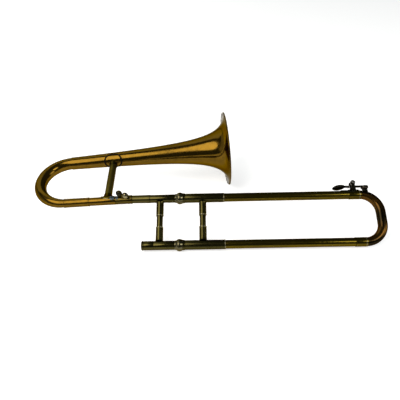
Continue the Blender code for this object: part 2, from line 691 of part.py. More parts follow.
def bell_brace(section):
    """A rod between the neck and the bell, about square to the slide, with an oval saddle foot on each."""
    neck_x = (BELL_BRACE_X - JOINT_X) / math.cos(NECK_TILT)
    lean = BELL_BRACE_LEAN
    frame = empty("bell_brace", section, (neck_x, 0, 0), (0, 0, lean))
    to_frame = Matrix.Rotation(-lean, 4, "Z")
    offset = to_frame @ (bell_axis_point() - Vector((neck_x, 0, 0)))
    heading = to_frame @ bell_direction()
    along = -offset.x / heading.x
    span = offset.y + heading.y * along
    from_rim = BELL_LENGTH - along

    def bell_at(z):
        return bell_radius(from_rim - z)

    def neck_at(z):
        return neck_radius(neck_x + z)

    feet = (
        ("bell", span, -1, BELL_TILT - lean, bell_at, BELL_SADDLE_LENGTH, BELL_SADDLE_WRAP),
        ("neck", 0.0, 1, -lean, neck_at, NECK_SADDLE_LENGTH, NECK_SADDLE_WRAP),
    )
    bore = BELL_BRACE_ROD_RADIUS + SOLDER_GAP
    radius = bore + BELL_BRACE_FOOT_WALL
    flared = radius + BELL_BRACE_FOOT_FLARE
    for side, y, way, turn, radius_at, length, wrap in feet:
        middle = radius_at(0.0)
        end = middle + BELL_BRACE_FOOT_LENGTH
        outer = [(middle / 2, flared), (middle, flared), (end, radius)]
        inner = [(middle / 2, bore), (end, bore)]
        if way < 0:
            outer = [(-z, r) for z, r in reversed(outer)]
            inner = [(-z, r) for z, r in reversed(inner)]
        foot = placed(turned(f"bell_brace_{side}_foot", outer, inner), frame, (0, y, 0), "y")
        pad = saddle(f"{side}_saddle", radius_at, length, wrap, way * math.pi / 2)
        placed(cutter(pad), frame, (0, y, 0), lean=turn)
        shares = [i / SADDLE_CUT_STEPS - 0.5 for i in range(SADDLE_CUT_STEPS + 1)]
        stations = [SADDLE_CUT_LENGTH * share for share in shares]
        tube = turned(f"{side}_saddle_cut", [(z, radius_at(z) + SEAT_GAP) for z in stations])
        placed(cutter(tube), frame, (0, y, 0), lean=turn)
        combine(foot, tube, "DIFFERENCE")
        keep(combine(foot, pad, "UNION"), BRASS)
    stand = SADDLE_THICKNESS + 3 * SEAT_GAP
    low = neck_at(0.0) + stand + BELL_BRACE_ROD_RADIUS * math.tan(-lean)
    high = span - bell_at(BELL_BRACE_ROD_RADIUS) - stand - BELL_BRACE_ROD_RADIUS * math.tan(BELL_TILT - lean)
    inside = BELL_BRACE_ROD_RADIUS - BELL_BRACE_ROD_WALL
    rod = pipe("bell_brace_rod", low, high, inside, BELL_BRACE_ROD_RADIUS)
    keep(placed(rod, frame, along="y"), DULL_BRASS)


# Outer slide


def outer_tubes(slide):
    mouth = BARREL_MOUTH_BORE + BARREL_MOUTH_WALL
    for side, y in (("upper", 0.0), ("lower", -SLIDE_SPACING)):
        here = (0, y, 0)
        tube = pipe(f"{side}_outer_tube", OUTER_TUBE_START, OUTER_TUBE_END, OUTER_BORE, OUTER_RADIUS)
        keep(placed(tube, slide, here), DULL_BRASS)
        start = HAND_SLEEVE_START
        end = start + HAND_SLEEVE_LENGTH
        sleeve = pipe(f"{side}_hand_sleeve", start, end, HAND_SLEEVE_BORE, HAND_SLEEVE_RADIUS)
        keep(placed(sleeve, slide, here), DULL_BRASS)
        start = SEAT_GAP
        stop = start + COLLAR_LENGTH
        low = HAND_SLEEVE_BORE + COLLAR_WALL / 2
        outer = [(start, mouth), (start + COLLAR_LENGTH / 3, mouth), (stop, low)]
        inner = [(start, HAND_SLEEVE_BORE), (stop, HAND_SLEEVE_BORE)]
        collar = turned(f"{side}_end_collar", outer, inner)
        keep(placed(collar, slide, here), BRASS)


def end_bow_path():
    """Centre line of the end bow from the upper leg round to the lower one, and the outside radius there."""
    start = OUTER_TUBE_END + SEAT_GAP
    between_bends = SLIDE_SPACING - 2 * END_BOW_RADIUS
    path = [Vector((start, 0, 0))]
    radii = [OUTER_RADIUS]
    for bend, drop in ((0, 0.0), (1, between_bends)):
        for i in range(END_BOW_STEPS + 1):
            turn = math.pi / 2 * (bend + i / END_BOW_STEPS)
            x = SLIDE_LENGTH + END_BOW_RADIUS * math.sin(turn)
            path.append(Vector((x, END_BOW_RADIUS * (math.cos(turn) - 1) - drop, 0)))
            radii.append(OUTER_RADIUS + END_BOW_SWELL * math.sin(turn))
    path.append(Vector((start, -SLIDE_SPACING, 0)))
    radii.append(OUTER_RADIUS)
    return path, radii


def end_bow(slide):
    path, radii = end_bow_path()
    bow = swept_shell("end_bow", path, radii, END_BOW_WALL)
    bow.parent = slide
    keep(bow, DULL_BRASS)
    start = BOW_FERRULE_END - BOW_FERRULE_LENGTH
    end = BOW_FERRULE_END
    for side, y in (("upper", 0.0), ("lower", -SLIDE_SPACING)):
        ferrule = pipe(f"{side}_bow_ferrule", start, end, BOW_FERRULE_BORE, BOW_FERRULE_RADIUS)
        keep(placed(ferrule, slide, (0, y, 0)), DULL_BRASS)


# Water key


def key_heights():
    """Heights of the nipple's top, the cork's top and the cup's top above the upper slide axis."""
    cup_top = KEY_BAR_TOP_Y - KEY_BAR_THICKNESS / 2
    cup_low = cup_top - KEY_CUP_HEIGHT
    cork_top = cup_top - KEY_CUP_WALL - SEAT_GAP
    cork_low = cork_top - KEY_CORK_HEIGHT
    return cork_low - SEAT_GAP, cork_low, cork_top, cup_low, cup_top


def water_key_nipple(slide):
    """A short chimney on the bow, its foot cut to the bow."""
    top = key_heights()[0]
    x = KEY_PIVOT_X + KEY_CUP_REACH
    outer = [(0.0, KEY_NIPPLE_FOOT_RADIUS), (top - KEY_NIPPLE_EDGE, KEY_NIPPLE_RADIUS)]
    outer += [(top, KEY_NIPPLE_RADIUS - KEY_NIPPLE_EDGE)]
    inner = [(0.0, KEY_NIPPLE_BORE), (top, KEY_NIPPLE_BORE)]
    nipple = placed(turned("water_key_nipple", outer, inner, SMALL_SIDES), slide, (x, 0, 0), "y")
    path, radii = end_bow_path()
    solid = swept("nipple_cut", path, [r + SEAT_GAP for r in radii])
    cutter(solid).parent = slide
    keep(combine(nipple, solid, "DIFFERENCE"), BRASS)


def water_key_saddle(slide):
    """A saddle on the bow ferrule with two round-eyed ears for the pivot screw."""

    def ferrule_at(z):
        return BOW_FERRULE_RADIUS

    pad = saddle("water_key_saddle", ferrule_at, KEY_SADDLE_LENGTH, KEY_SADDLE_WRAP, math.pi / 2)
    placed(pad, slide, (KEY_PIVOT_X, 0, 0))
    hole_radius = KEY_PIVOT_RADIUS + SEAT_GAP
    past_ears = KEY_EAR_INSIDE + 2 * KEY_EAR_THICKNESS
    hole = turned("ear_hole", [(-past_ears, hole_radius), (past_ears, hole_radius)], sides=SMALL_SIDES)
    placed(cutter(hole), slide, (KEY_PIVOT_X, KEY_PIVOT_Y, 0), "z")
    seat_radius = BOW_FERRULE_RADIUS + SEAT_GAP
    tube = turned("ear_cut", [(-KEY_SADDLE_LENGTH, seat_radius), (KEY_SADDLE_LENGTH, seat_radius)])
    placed(cutter(tube), slide, (KEY_PIVOT_X, 0, 0))
    foot = BOW_FERRULE_RADIUS / 2
    outline = [(-KEY_EAR_HALF_WIDTH, foot), (KEY_EAR_HALF_WIDTH, foot)]
    outline += arc((0.0, KEY_PIVOT_Y), KEY_EYE_RADIUS, -50, 230, 14)
    for side, way in (("near", 1), ("far", -1)):
        ear = plate(f"{side}_ear", outline, KEY_EAR_THICKNESS)
        z = way * (KEY_EAR_INSIDE + KEY_EAR_THICKNESS / 2)
        placed(cutter(ear), slide, (KEY_PIVOT_X, 0, z), "z")
        combine(pad, ear, "UNION")
    combine(pad, tube, "DIFFERENCE")
    keep(combine(pad, hole, "DIFFERENCE"), BRASS)


def water_key_screw(slide):
    outside = KEY_EAR_INSIDE + KEY_EAR_THICKNESS + SEAT_GAP
    outer = [(-outside, KEY_PIVOT_RADIUS), (outside, KEY_PIVOT_RADIUS)]
    outer += [(outside, KEY_SCREW_HEAD_RADIUS), (outside + KEY_SCREW_HEAD_LENGTH, KEY_SCREW_TOP_RADIUS)]
    screw = turned("water_key_pivot_screw", outer, sides=SMALL_SIDES)
    keep(placed(screw, slide, (KEY_PIVOT_X, KEY_PIVOT_Y, 0), "z"), STEEL)


def water_key_spring(slide):
    """A torsion spring on the pivot screw, with one leg under the finger bar and one on the saddle."""
    low = KEY_BAR_NEAR_SIDE + SEAT_GAP + KEY_SPRING_WIRE
    high = KEY_EAR_INSIDE - SEAT_GAP - KEY_SPRING_WIRE
    steps = KEY_SPRING_STEPS * KEY_SPRING_TURNS
    path = []
    bar_low = KEY_BAR_TOP_Y - KEY_BAR_THICKNESS - KEY_PIVOT_Y - SEAT_GAP - KEY_SPRING_WIRE
    saddle_top = BOW_FERRULE_RADIUS + SADDLE_THICKNESS + 2 * SEAT_GAP + KEY_SPRING_WIRE - KEY_PIVOT_Y
    path.append(Vector((-KEY_SPRING_LEG, bar_low, -KEY_BAR_WIDTH / 2)))
    path.append(Vector((KEY_SPRING_HOOK - KEY_SPRING_LEG, bar_low, low)))
    for i in range(steps + 1):
        turn = math.pi + 2 * math.pi * i / KEY_SPRING_STEPS
        z = low + (high - low) * i / steps
        path.append(Vector((KEY_SPRING_RADIUS * math.cos(turn), KEY_SPRING_RADIUS * math.sin(turn), z)))
    path.append(Vector((-KEY_SPRING_RADIUS, saddle_top, high)))
    radii = [KEY_SPRING_WIRE] * len(path)
    spring = swept("water_key_spring", path, radii, sides=KEY_SPRING_SIDES)
    placed(spring, slide, (KEY_PIVOT_X, KEY_PIVOT_Y, 0), "z")
    keep(spring, STEEL)


def water_key_lever(slide):
    """The lever with its hub on the pivot screw, finger plate, bar and pad cup, and the cork in the cup."""
    pivot = empty("water_key", slide, (KEY_PIVOT_X, KEY_PIVOT_Y, 0))
    _, cork_low, cork_top, cup_low, cup_top = (h - KEY_PIVOT_Y for h in key_heights())
    bar_top = KEY_BAR_TOP_Y - KEY_PIVOT_Y
    bar_low = bar_top - KEY_BAR_THICKNESS
    finger_end = -KEY_FINGER_REACH + KEY_FINGER_LENGTH / 4
    cup_end = KEY_CUP_REACH + KEY_BAR_WIDTH / 3
    outline = [(finger_end, bar_low), (cup_end, bar_low), (cup_end, bar_top)]
    outline += [(KEY_HUB_SPREAD, bar_top)]
    outline += arc((0.0, 0.0), KEY_HUB_RADIUS, -10, 190, 10)
    outline += [(-KEY_HUB_SPREAD, bar_top), (finger_end, bar_top)]
    bar = plate("water_key_lever", outline, KEY_BAR_WIDTH)
    placed(bar, pivot, (0, 0, KEY_BAR_NEAR_SIDE - KEY_BAR_WIDTH / 2), "z")

    size = Vector((KEY_FINGER_LENGTH, KEY_FINGER_THICKNESS, KEY_FINGER_WIDTH))
    finger = ellipsoid("finger_plate", size / 2)
    middle = (bar_low + bar_top) / 2 - KEY_FINGER_DROP
    placed(cutter(finger), pivot, (-KEY_FINGER_REACH, middle, 0), "z", KEY_FINGER_LEAN)
    combine(bar, finger, "UNION")

    shoulder = cup_top - KEY_CUP_WALL
    outer = [(cup_low, KEY_CUP_RADIUS), (shoulder, KEY_CUP_RADIUS), (cup_top, KEY_CUP_TOP_RADIUS)]
    cup = turned("pad_cup", outer, sides=SMALL_SIDES)
    placed(cutter(cup), pivot, (KEY_CUP_REACH, 0, 0), "y")
    inner_radius = KEY_CUP_RADIUS - KEY_CUP_WALL
    hollow = turned("cup_hollow", [(cork_low, inner_radius), (shoulder, inner_radius)], sides=SMALL_SIDES)
    placed(cutter(hollow), pivot, (KEY_CUP_REACH, 0, 0), "y")
    combine(bar, cup, "UNION")
    combine(bar, hollow, "DIFFERENCE")
    hole_radius = KEY_PIVOT_RADIUS + SEAT_GAP
    reach = KEY_BAR_WIDTH * 2
    hole = turned("hub_hole", [(-reach, hole_radius), (reach, hole_radius)], sides=SMALL_SIDES)
    placed(cutter(hole), pivot, along="z")
    keep(combine(bar, hole, "DIFFERENCE"), BRASS)

    pad_radius = inner_radius - SEAT_GAP
    pad = turned("water_key_cork", [(cork_low, pad_radius), (cork_top, pad_radius)], sides=SMALL_SIDES)
    keep(placed(pad, pivot, (KEY_CUP_REACH, 0, 0), "y"), CORK)


# The whole instrument


def seat(root):
    """Lays the instrument on its rim and lower slide leg, with the origin below the middle of its box."""
    bpy.context.view_layer.update()
    rim = BELL_SECTION.matrix_world @ rim_centre()
    across = rim.y + SLIDE_SPACING
    step = (BELL_RIM_RADIUS - BARREL_RADIUS) / math.hypot(across, rim.z)
    root.rotation_euler.x = math.asin(step) - math.atan2(rim.z, across)
    bpy.context.view_layer.update()
    graph = bpy.context.evaluated_depsgraph_get()
    points = []
    for obj in PARTS.objects:
        if obj.type == "MESH":
            solid = obj.evaluated_get(graph)
            points += [solid.matrix_world @ vert.co for vert in solid.data.vertices]
    low = [min(point[i] for point in points) for i in range(3)]
    high = [max(point[i] for point in points) for i in range(3)]
    root.location = (-(low[0] + high[0]) / 2, -(low[1] + high[1]) / 2, -low[2])


clear_scene()
PARTS = collection("soprano_trombone")
CUTTERS = collection("cutters")
BRASS = metal("aged_brass", (0.48, 0.31, 0.09), 0.25)
DULL_BRASS = metal("dull_brass", (0.22, 0.17, 0.06), 0.4)
STEEL = metal("steel", (0.35, 0.34, 0.32), 0.35)
CORK = metal("cork", (0.50, 0.34, 0.20), 0.9, 0.0)

ROOT = empty("trombone")
SOCKET_AXIS = empty("socket_axis", ROOT, (JOINT_X, 0, 0), (0, 0, NECK_TILT))
inner_tubes(ROOT)
slide_sleeves(ROOT)
mouthpiece_receiver(ROOT)
cork_barrels(ROOT)
brace(ROOT, "inner_brace", INNER_BRACE_X, UPPER_GRIP_RADIUS, LOWER_GRIP_RADIUS)
bell_socket(SOCKET_AXIS)
lock_screw(SOCKET_AXIS)

BELL_SECTION = empty("bell_section", ROOT, (JOINT_X, 0, 0), (BELL_TURN, 0, NECK_TILT))
neck_pieces(BELL_SECTION)
bell_bow(BELL_SECTION)
bell(BELL_SECTION)
bell_brace(BELL_SECTION)

OUTER_SLIDE = empty("outer_slide", ROOT)
outer_tubes(OUTER_SLIDE)
brace(OUTER_SLIDE, "outer_brace", OUTER_BRACE_X, HAND_SLEEVE_RADIUS, HAND_SLEEVE_RADIUS)
end_bow(OUTER_SLIDE)
water_key_nipple(OUTER_SLIDE)
water_key_saddle(OUTER_SLIDE)
water_key_screw(OUTER_SLIDE)
water_key_spring(OUTER_SLIDE)
water_key_lever(OUTER_SLIDE)
seat(ROOT)
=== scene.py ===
"""Looks of the soprano trombone: fine turned and bent pieces, aged brass, floor, light and camera.

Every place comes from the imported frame. Along each tube x is the tube's own axis. Units are metres.
"""

import json
from math import atan2, cos, exp, hypot, pi, radians, sin, sqrt

import bmesh
import bpy
from mathutils import Matrix, Vector


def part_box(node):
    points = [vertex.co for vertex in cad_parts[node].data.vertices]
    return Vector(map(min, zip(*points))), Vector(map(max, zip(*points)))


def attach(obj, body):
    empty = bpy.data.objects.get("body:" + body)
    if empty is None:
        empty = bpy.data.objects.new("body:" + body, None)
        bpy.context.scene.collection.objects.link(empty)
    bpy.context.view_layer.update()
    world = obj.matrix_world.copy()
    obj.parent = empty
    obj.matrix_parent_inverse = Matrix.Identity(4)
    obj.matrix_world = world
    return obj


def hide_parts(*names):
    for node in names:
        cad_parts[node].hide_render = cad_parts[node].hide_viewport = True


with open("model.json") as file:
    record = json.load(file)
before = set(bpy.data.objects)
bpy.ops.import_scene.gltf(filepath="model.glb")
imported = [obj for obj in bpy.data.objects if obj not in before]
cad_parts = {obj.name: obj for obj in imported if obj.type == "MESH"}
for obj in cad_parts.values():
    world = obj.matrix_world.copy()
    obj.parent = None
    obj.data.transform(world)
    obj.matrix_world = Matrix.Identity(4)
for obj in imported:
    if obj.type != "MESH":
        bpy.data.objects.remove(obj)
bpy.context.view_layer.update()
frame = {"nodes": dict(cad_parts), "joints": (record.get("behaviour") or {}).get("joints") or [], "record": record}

MM = 0.001
QUARTER = pi / 2
STAY = Matrix.Identity(4)

# Sides of round pieces, steps of a curve, and how near two corners count as one
FINE = 96
MEDIUM = 64
SMALL = 40
CURVE = 16
TINY = 0.000001
MERGE = 5 * TINY

# Rounding of edges, and gaps between pieces
EASE = 0.12 * MM
EASE_STEPS = 3
EASE_LEAST_TURN = 0.35
EASE_MOST = 0.45
SEAT = 0.3 * MM
SOLDER_GAP = 0.15 * MM

# Beads and rings that stand on the tubes
BEAD_LENGTH = 1.6 * MM
BEAD_RISE = 0.22 * MM
RING_LENGTH = 1.2 * MM
RING_RISE = 0.3 * MM
RING_SUNK = 0.1 * MM
SLEEVE_RING_BACK = 0.7 * MM
FERRULE_TRIM = 0.2 * MM
FERRULE_RING_BACK = 2.2 * MM
FERRULE_RING = (1.0 * MM, 0.2 * MM)
BRACE_RING_BACK = 0.8 * MM
BRACE_RING_LENGTH = 1.5 * MM

# Slide
STOCKING_LENGTH = 70.0 * MM
STOCKING_RISE = 0.3 * MM
STOCKING_SLOPE = 2.0 * MM
SHANK_WALL = 0.35 * MM
SHANK_RIM = 0.7 * MM
SHANK_RIM_RISE = 0.25 * MM
GRIP_WALL = 0.5 * MM
UPPER_GRIP_EASE = 0.2 * MM
LOWER_GRIP_EASE = 0.25 * MM
RECEIVER_RIM = 1.5 * MM
RECEIVER_RIM_RISE = 0.4 * MM
RECEIVER_GROOVE = ((3.2, 0.0), (4.2, 0.0), (4.4, 0.15), (4.9, 0.15), (5.1, 0.0))
RECEIVER_LAP = 5.8 * MM
RECEIVER_MOUTH = 0.3 * MM
RECEIVER_LIP = 0.5 * MM
RECEIVER_LIP_FLARE = 0.3 * MM
BARREL_THROAT_WALL = 1.35 * MM
BARREL_THROAT_LENGTH = 2.2 * MM
BARREL_THROAT_STEP = 0.25 * MM
BARREL_MOUTH_WALL = 1.1 * MM
BARREL_BOTTOM = 4.0 * MM
END_COLLAR_WALL = 0.6 * MM
BRACE_SOCKET_WALL = 0.75 * MM
BRACE_FLARE_LENGTH = 3.5 * MM
BRACE_FLARE_POWER = 2.2
END_BOW_RADIUS = 29.0 * MM
END_BOW_STEPS = 30
END_BOW_SWELL = 0.6 * MM
END_BOW_WALL = 0.6 * MM

# Bell section
BELL_FLARE_SHARE = 0.82
BELL_FLARE_SCALE = 14.3 * MM
BELL_FLARE_POWER = 0.53
BELL_LIP_LENGTH = 2.5 * MM
BELL_STATION_POWER = 2.4
BELL_WALL = 0.5 * MM
BELL_EDGE_SHARE = 0.45
BELL_STEPS = 120
BELL_BOW_STEPS = 72
BELL_BOW_RADIUS = 47.0 * MM
BELL_BOW_WALL = 0.5 * MM
BOW_LAP = 10.0 * MM
NECK_TAPER = 0.4 * MM

# Bell brace, with pads and solder. Each oval is its length, its wrap to each side and its turn
PAD_THICKNESS = 0.7 * MM
PAD_RINGS = 14
PAD_SIDES = 72
PAD_RING_POWER = 1.6
PAD_ROUND_FROM = 0.93
BELL_PAD = (28.6 * MM, radians(57.0), radians(-30.0))
BELL_SEAM = 1.5 * MM
NECK_PAD = (22.0 * MM, radians(105.0), 0.0)
NECK_SEAM = 0.5 * MM
SEAM_DEPTH = 0.2 * MM
BELL_ROD_SWELL = 0.4 * MM
BELL_FOOT_LENGTH = 5.0 * MM
BELL_FOOT_WALL = 0.6 * MM
BELL_FOOT_FLARE = (1.6 * MM, 1.5, 14)
NECK_POOL_AT = 8.7 * MM
NECK_POOL = (8.4 * MM, radians(32.0), radians(95.0))
NECK_POOL_RISE = 0.1 * MM
SOCKET_POOL_AT = 2.8 * MM
SOCKET_POOL = (5.0 * MM, radians(30.0), radians(95.0))

# Bell joint
SOCKET_WALL = 0.65 * MM
SOCKET_EASE = 0.15 * MM
COLLAR_LENGTH = 6.4 * MM
COLLAR_RISE = 0.35 * MM
COLLAR_GROOVE = 1.2 * MM
BOSS_RADIUS = 3.3 * MM
BOSS_RISE = 1.6 * MM
BOSS_EDGE = 0.4 * MM
BOSS_HOLE_FROM = 0.8
SCREW_RADIUS = 1.5 * MM
SCREW_TIP = 0.4 * MM
SCREW_TIP_SHARE = 0.8
HUB_RADIUS = 2.7 * MM
HUB_LENGTH = 4.2 * MM
HUB_RIM = 0.9 * MM
HUB_RIM_END = 1.1 * MM
HUB_RIM_RISE = 0.25 * MM
HUB_DOME = 1.5 * MM
WING_REACH = 5.8 * MM
WING_RISE = 3.4 * MM
WING_LOBE = 5.2 * MM
WING_THICKNESS = 2.8 * MM
WING_EDGE = 0.7 * MM
WING_SWELL = 4.4 * MM
WING_TURN = radians(-28.0)

# Water key
EYE_RADIUS = 3.9 * MM
EAR_THICKNESS = 1.5 * MM
EAR_HALF_WIDTH = 3.6 * MM
EAR_INSIDE = 3.8 * MM
EAR_EDGE = 0.25 * MM
KEY_PAD = (29.0 * MM, radians(70.0), 0.0)
KEY_PAD_SHIFT = -5.5 * MM
KEY_PAD_STEP = 1.5 * MM
KEY_PAD_RINGS = 40
KEY_HOLE_RADIUS = 1.5 * MM
KEY_SCREW_TIP = 0.3 * MM
KEY_SCREW_TIP_CUT = 0.2 * MM
KEY_SCREW_RIM = 0.5 * MM
KEY_SCREW_DOME = 0.9 * MM
KEY_SCREW_EASE = 0.08 * MM
KEY_SLOT = (3.0 * MM, 0.3 * MM, 0.6 * MM)
BAR_DROP = 3.3 * MM
BAR_THICKNESS = 3.0 * MM
BAR_WIDTH = 3.2 * MM
BAR_NEAR_SIDE = 0.25 * MM
BAR_EDGE = 0.45 * MM
KEY_HUB_RADIUS = 2.5 * MM
KEY_HUB_SPREAD = 4.5 * MM
FINGER = (21.0 * MM, 3.6 * MM, 11.0 * MM)
FINGER_CROWN = 0.75
FINGER_HOLLOW = 0.42
FINGER_ROLL = radians(-30.0)
FINGER_LEAN = radians(8.0)
FINGER_DROP = 1.8 * MM
FINGER_REACH = 22.0 * MM
CUP_RADIUS = 5.9 * MM
CUP_TOP_RADIUS = 4.7 * MM
CUP_WALL = 0.7 * MM
CUP_HEIGHT = 3.4 * MM
CUP_EASE = 0.3 * MM
NIPPLE_RADIUS = 4.0 * MM
NIPPLE_FOOT = 4.6 * MM
NIPPLE_FOOT_TOP = 5.0 * MM
NIPPLE_ROOT = 2.0 * MM
NIPPLE_STEP = 0.5 * MM
NIPPLE_BORE = 2.2 * MM
NIPPLE_EASE = 0.25 * MM
NIPPLE_BEND = 12
SPRING_WIRE = 0.35 * MM
SPRING_RADIUS = 2.4 * MM
SPRING_TURNS = 3
SPRING_LEG = 7.7 * MM
SPRING_HOOK = 2.4 * MM
SPRING_HOOK_SIDE = 0.4 * MM
SPRING_CLEAR = 0.95 * MM

# Finish: how clouds and polishing lines are drawn out, and the end bow's painted corner highlights
CLOUD_STRETCH = (0.25, 1.0, 1.0)
LINE_STRETCH = (0.04, 1.0, 1.0)
BRASS_EDGE = (0.42, 0.34, 0.16)
CORNER_HIGHLIGHT_BRASS = (0.095, 0.046, 0.009)
HIGHLIGHT_FROM = 2.0 * MM
HIGHLIGHT_FULL = 30.0 * MM
HIGHLIGHT_REACH = 36.0 * MM
HIGHLIGHT_FADE = 5.0 * MM

# Floor and room
WHITE = (1.0, 1.0, 1.0)
UPRIGHT = (0.0, 0.0, 1.0)
FLOOR_HALF = 6.0
FLOOR_DROP = 0.4 * MM
FLOOR_COLOUR = (0.8, 0.8, 0.8, 1.0)
FLOOR_GLOW = 0.65
ROOM_COLOUR = (0.09, 0.105, 0.11, 1.0)

# Each lamp's name, place, aim, size and radiance, and where they differ colour, up and shape
LAMPS = (
    ("left_strip", (-0.53122, -0.355147, 0.865146), (-0.08, 0.05, 0.07), (0.8, 1.0), 4.4,
     (1.0, 0.95, 0.88), (0.0, 0.891007, 0.45399), "ELLIPSE"),
    ("right_box", (1.5, -0.33, 0.45), (0.05, -0.03, 0.03), (0.6, 0.6), 4.0),
    ("left_panel", (-1.7, 0.1, 0.36), (-0.05, 0.0, 0.05), (2.2, 0.7), 0.5),
    ("back_panel", (-1.45, 1.5, 1.1), (-1.45, 0.0, 0.1), (2.3, 2.1), 1.0, (0.97, 1.0, 0.92)),
    ("bow_light", (1.41, -0.99, 1.62), (-0.24, 0.06, 0.07), (0.7, 0.7), 7.5),
)

# Camera, fitted to the photograph, which is 400 pixels wide and high
PHOTO_WIDTH = 400
CAMERA_AIM = Vector((27.125 * MM, -4.918 * MM, 0.0))
CAMERA_TURN = -0.03126
CAMERA_RISE = 0.69729
CAMERA_ROLL = -0.04047
CAMERA_DISTANCE = 0.68246
CAMERA_FOCAL_PIXELS = 433.505
SENSOR = 36.0


# Places


def place(origin, along, towards):
    """A frame whose x runs along a direction and whose y leans towards another."""
    x = Vector(along).normalized()
    y = Vector(towards)
    y = (y - x * x.dot(y)).normalized()
    made = Matrix((x, y, x.cross(y))).transposed().to_4x4()
    made.translation = origin
    return made


def middle(node):
    low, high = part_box(node)
    return (low + high) / 2


def joint(name):
    return next(j for j in frame["joints"] if j["name"] == name)


def mount(name):
    return next(m for m in frame["record"]["mounts"] if m["name"] == name)


def points(node, at):
    """The node's corners in a place's own axes."""
    inverse = at.inverted()
    return [inverse @ vert.co for vert in frame["nodes"][node].data.vertices]


def span(node, at):
    """Where a turned piece starts and ends along x, and its least and greatest radius."""
    found = points(node, at)
    along = [p.x for p in found]
    radii = [hypot(p.y, p.z) for p in found]
    return min(along), max(along), min(radii), max(radii)


BODIES = frame["record"]["behaviour"]["bodies"]
BODY = {node: body for body, nodes in BODIES.items() for node in nodes}
SLIDE_X = Vector(joint("slide_travel")["axis"])
SLIDE_Z = Vector(joint("water_key_press")["axis"])
SLIDE_Y = SLIDE_Z.cross(SLIDE_X)
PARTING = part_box("upper_end_collar")[0].x - SEAT


def leg(tube):
    """A slide leg's place, at the parting of inner and outer slide."""
    centre = middle(tube)
    return place((PARTING, centre.y, centre.z), SLIDE_X, SLIDE_Y)


UPPER = leg("upper_outer_tube")
LOWER = leg("lower_outer_tube")
LEGS = (("upper", UPPER), ("lower", LOWER))
SPACING = (UPPER.translation - LOWER.translation).length
TUBE_RADIUS = span("upper_outer_tube", UPPER)[3]
SLEEVE_BORE = span("lower_grip_sleeve", LOWER)[2]
BOW_CENTRE = (UPPER.translation + LOWER.translation) / 2
BOW_CENTRE.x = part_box("end_bow")[1].x - END_BOW_RADIUS - TUBE_RADIUS - END_BOW_SWELL
RIM = Vector(mount("bell_mouth")["pos_m"])
BELL_X = Vector(mount("bell_mouth")["axis"])
JOINT = Vector(joint("bell_turn")["pos_m"])
NECK = place(JOINT, joint("bell_turn")["axis"], RIM - JOINT)
NECK_X = NECK.col[0].xyz
BELL = place(RIM, BELL_X, NECK.col[1].xyz)
SOCKET = place(JOINT, NECK_X, SLIDE_Y)
SOCKET_START, SOCKET_END, SOCKET_BORE, _ = span("bell_socket", SOCKET)
SOCKET_RADIUS = SOCKET_BORE + SOCKET_WALL
BOSS_TOP = SOCKET_RADIUS + BOSS_RISE
SCREW_Z = Vector(joint("lock_screw_turn")["axis"])
SCREW = place(joint("lock_screw_turn")["pos_m"], SCREW_Z, NECK_X)
KEY = place(joint("water_key_press")["pos_m"], SLIDE_X, SLIDE_Y)
KEY_ON_LEG = UPPER.inverted() @ KEY.translation
PIVOT = place(KEY.translation, SLIDE_Z, SLIDE_X)
CUP_X = (KEY.inverted() @ middle("water_key_cork")).x
CUP = place(KEY @ Vector((CUP_X, 0.0, 0.0)), SLIDE_Y, SLIDE_X)
FERRULE_RADIUS = span("upper_bow_ferrule", UPPER)[3]


# Materials


class Graph:
    """A short way to write a material's nodes."""

    def __init__(self, name):
        self.material = bpy.data.materials.new(name)
        self.material.use_nodes = True
        self.tree = self.material.node_tree
        self.shader = self.tree.nodes["Principled BSDF"]

    def feed(self, socket, value):
        if isinstance(value, bpy.types.NodeSocket):
            self.tree.links.new(value, socket)
        else:
            socket.default_value = value

    def add(self, kind, inputs=None, **settings):
        node = self.tree.nodes.new(kind)
        for key, value in settings.items():
            setattr(node, key, value)
        for key, value in (inputs or {}).items():
            self.feed(node.inputs[key], value)
        return node

    def where(self):
        return self.add("ShaderNodeTexCoord").outputs["Object"]

    def noise(self, scale, detail, roughness, stretch=(1.0, 1.0, 1.0), distortion=0.0):
        drawn = self.add("ShaderNodeMapping", {"Vector": self.where(), "Scale": stretch})
        inputs = {"Vector": drawn.outputs[0], "Scale": scale, "Detail": detail,
                  "Roughness": roughness, "Distortion": distortion}
        return self.add("ShaderNodeTexNoise", inputs).outputs["Fac"]

    def ramp(self, value, low, high, to_low=0.0, to_high=1.0):
        inputs = {"Value": value, "From Min": low, "From Max": high,
                  "To Min": to_low, "To Max": to_high}
        node = self.add("ShaderNodeMapRange", inputs, interpolation_type="SMOOTHSTEP")
        return node.outputs["Result"]

    def mix(self, share, *colours):
        inputs = {0: share}
        for key, value in zip((6, 7), colours):
            inputs[key] = value if isinstance(value, bpy.types.NodeSocket) else (*value, 1.0)
        return self.add("ShaderNodeMix", inputs, data_type="RGBA").outputs[2]

    def maths(self, operation, first, second=0.0):
        return self.add("ShaderNodeMath", {0: first, 1: second}, operation=operation).outputs[0]

    def total(self, first, second):
        return self.maths("ADD", first, second)

    def times(self, first, second):
        return self.maths("MULTIPLY", first, second)

    def vectors(self, operation, first, second):
        node = self.add("ShaderNodeVectorMath", {0: first, 1: second}, operation=operation)
        return node.outputs["Value"]

    def bump(self, height, strength, distance):
        inputs = {"Height": height, "Strength": strength, "Distance": distance}
        self.feed(self.shader.inputs["Normal"], self.add("ShaderNodeBump", inputs).outputs[0])

    def set(self, **values):
        for key, value in values.items():
            self.feed(self.shader.inputs[key.replace("_", " ")], value)
        return self.material


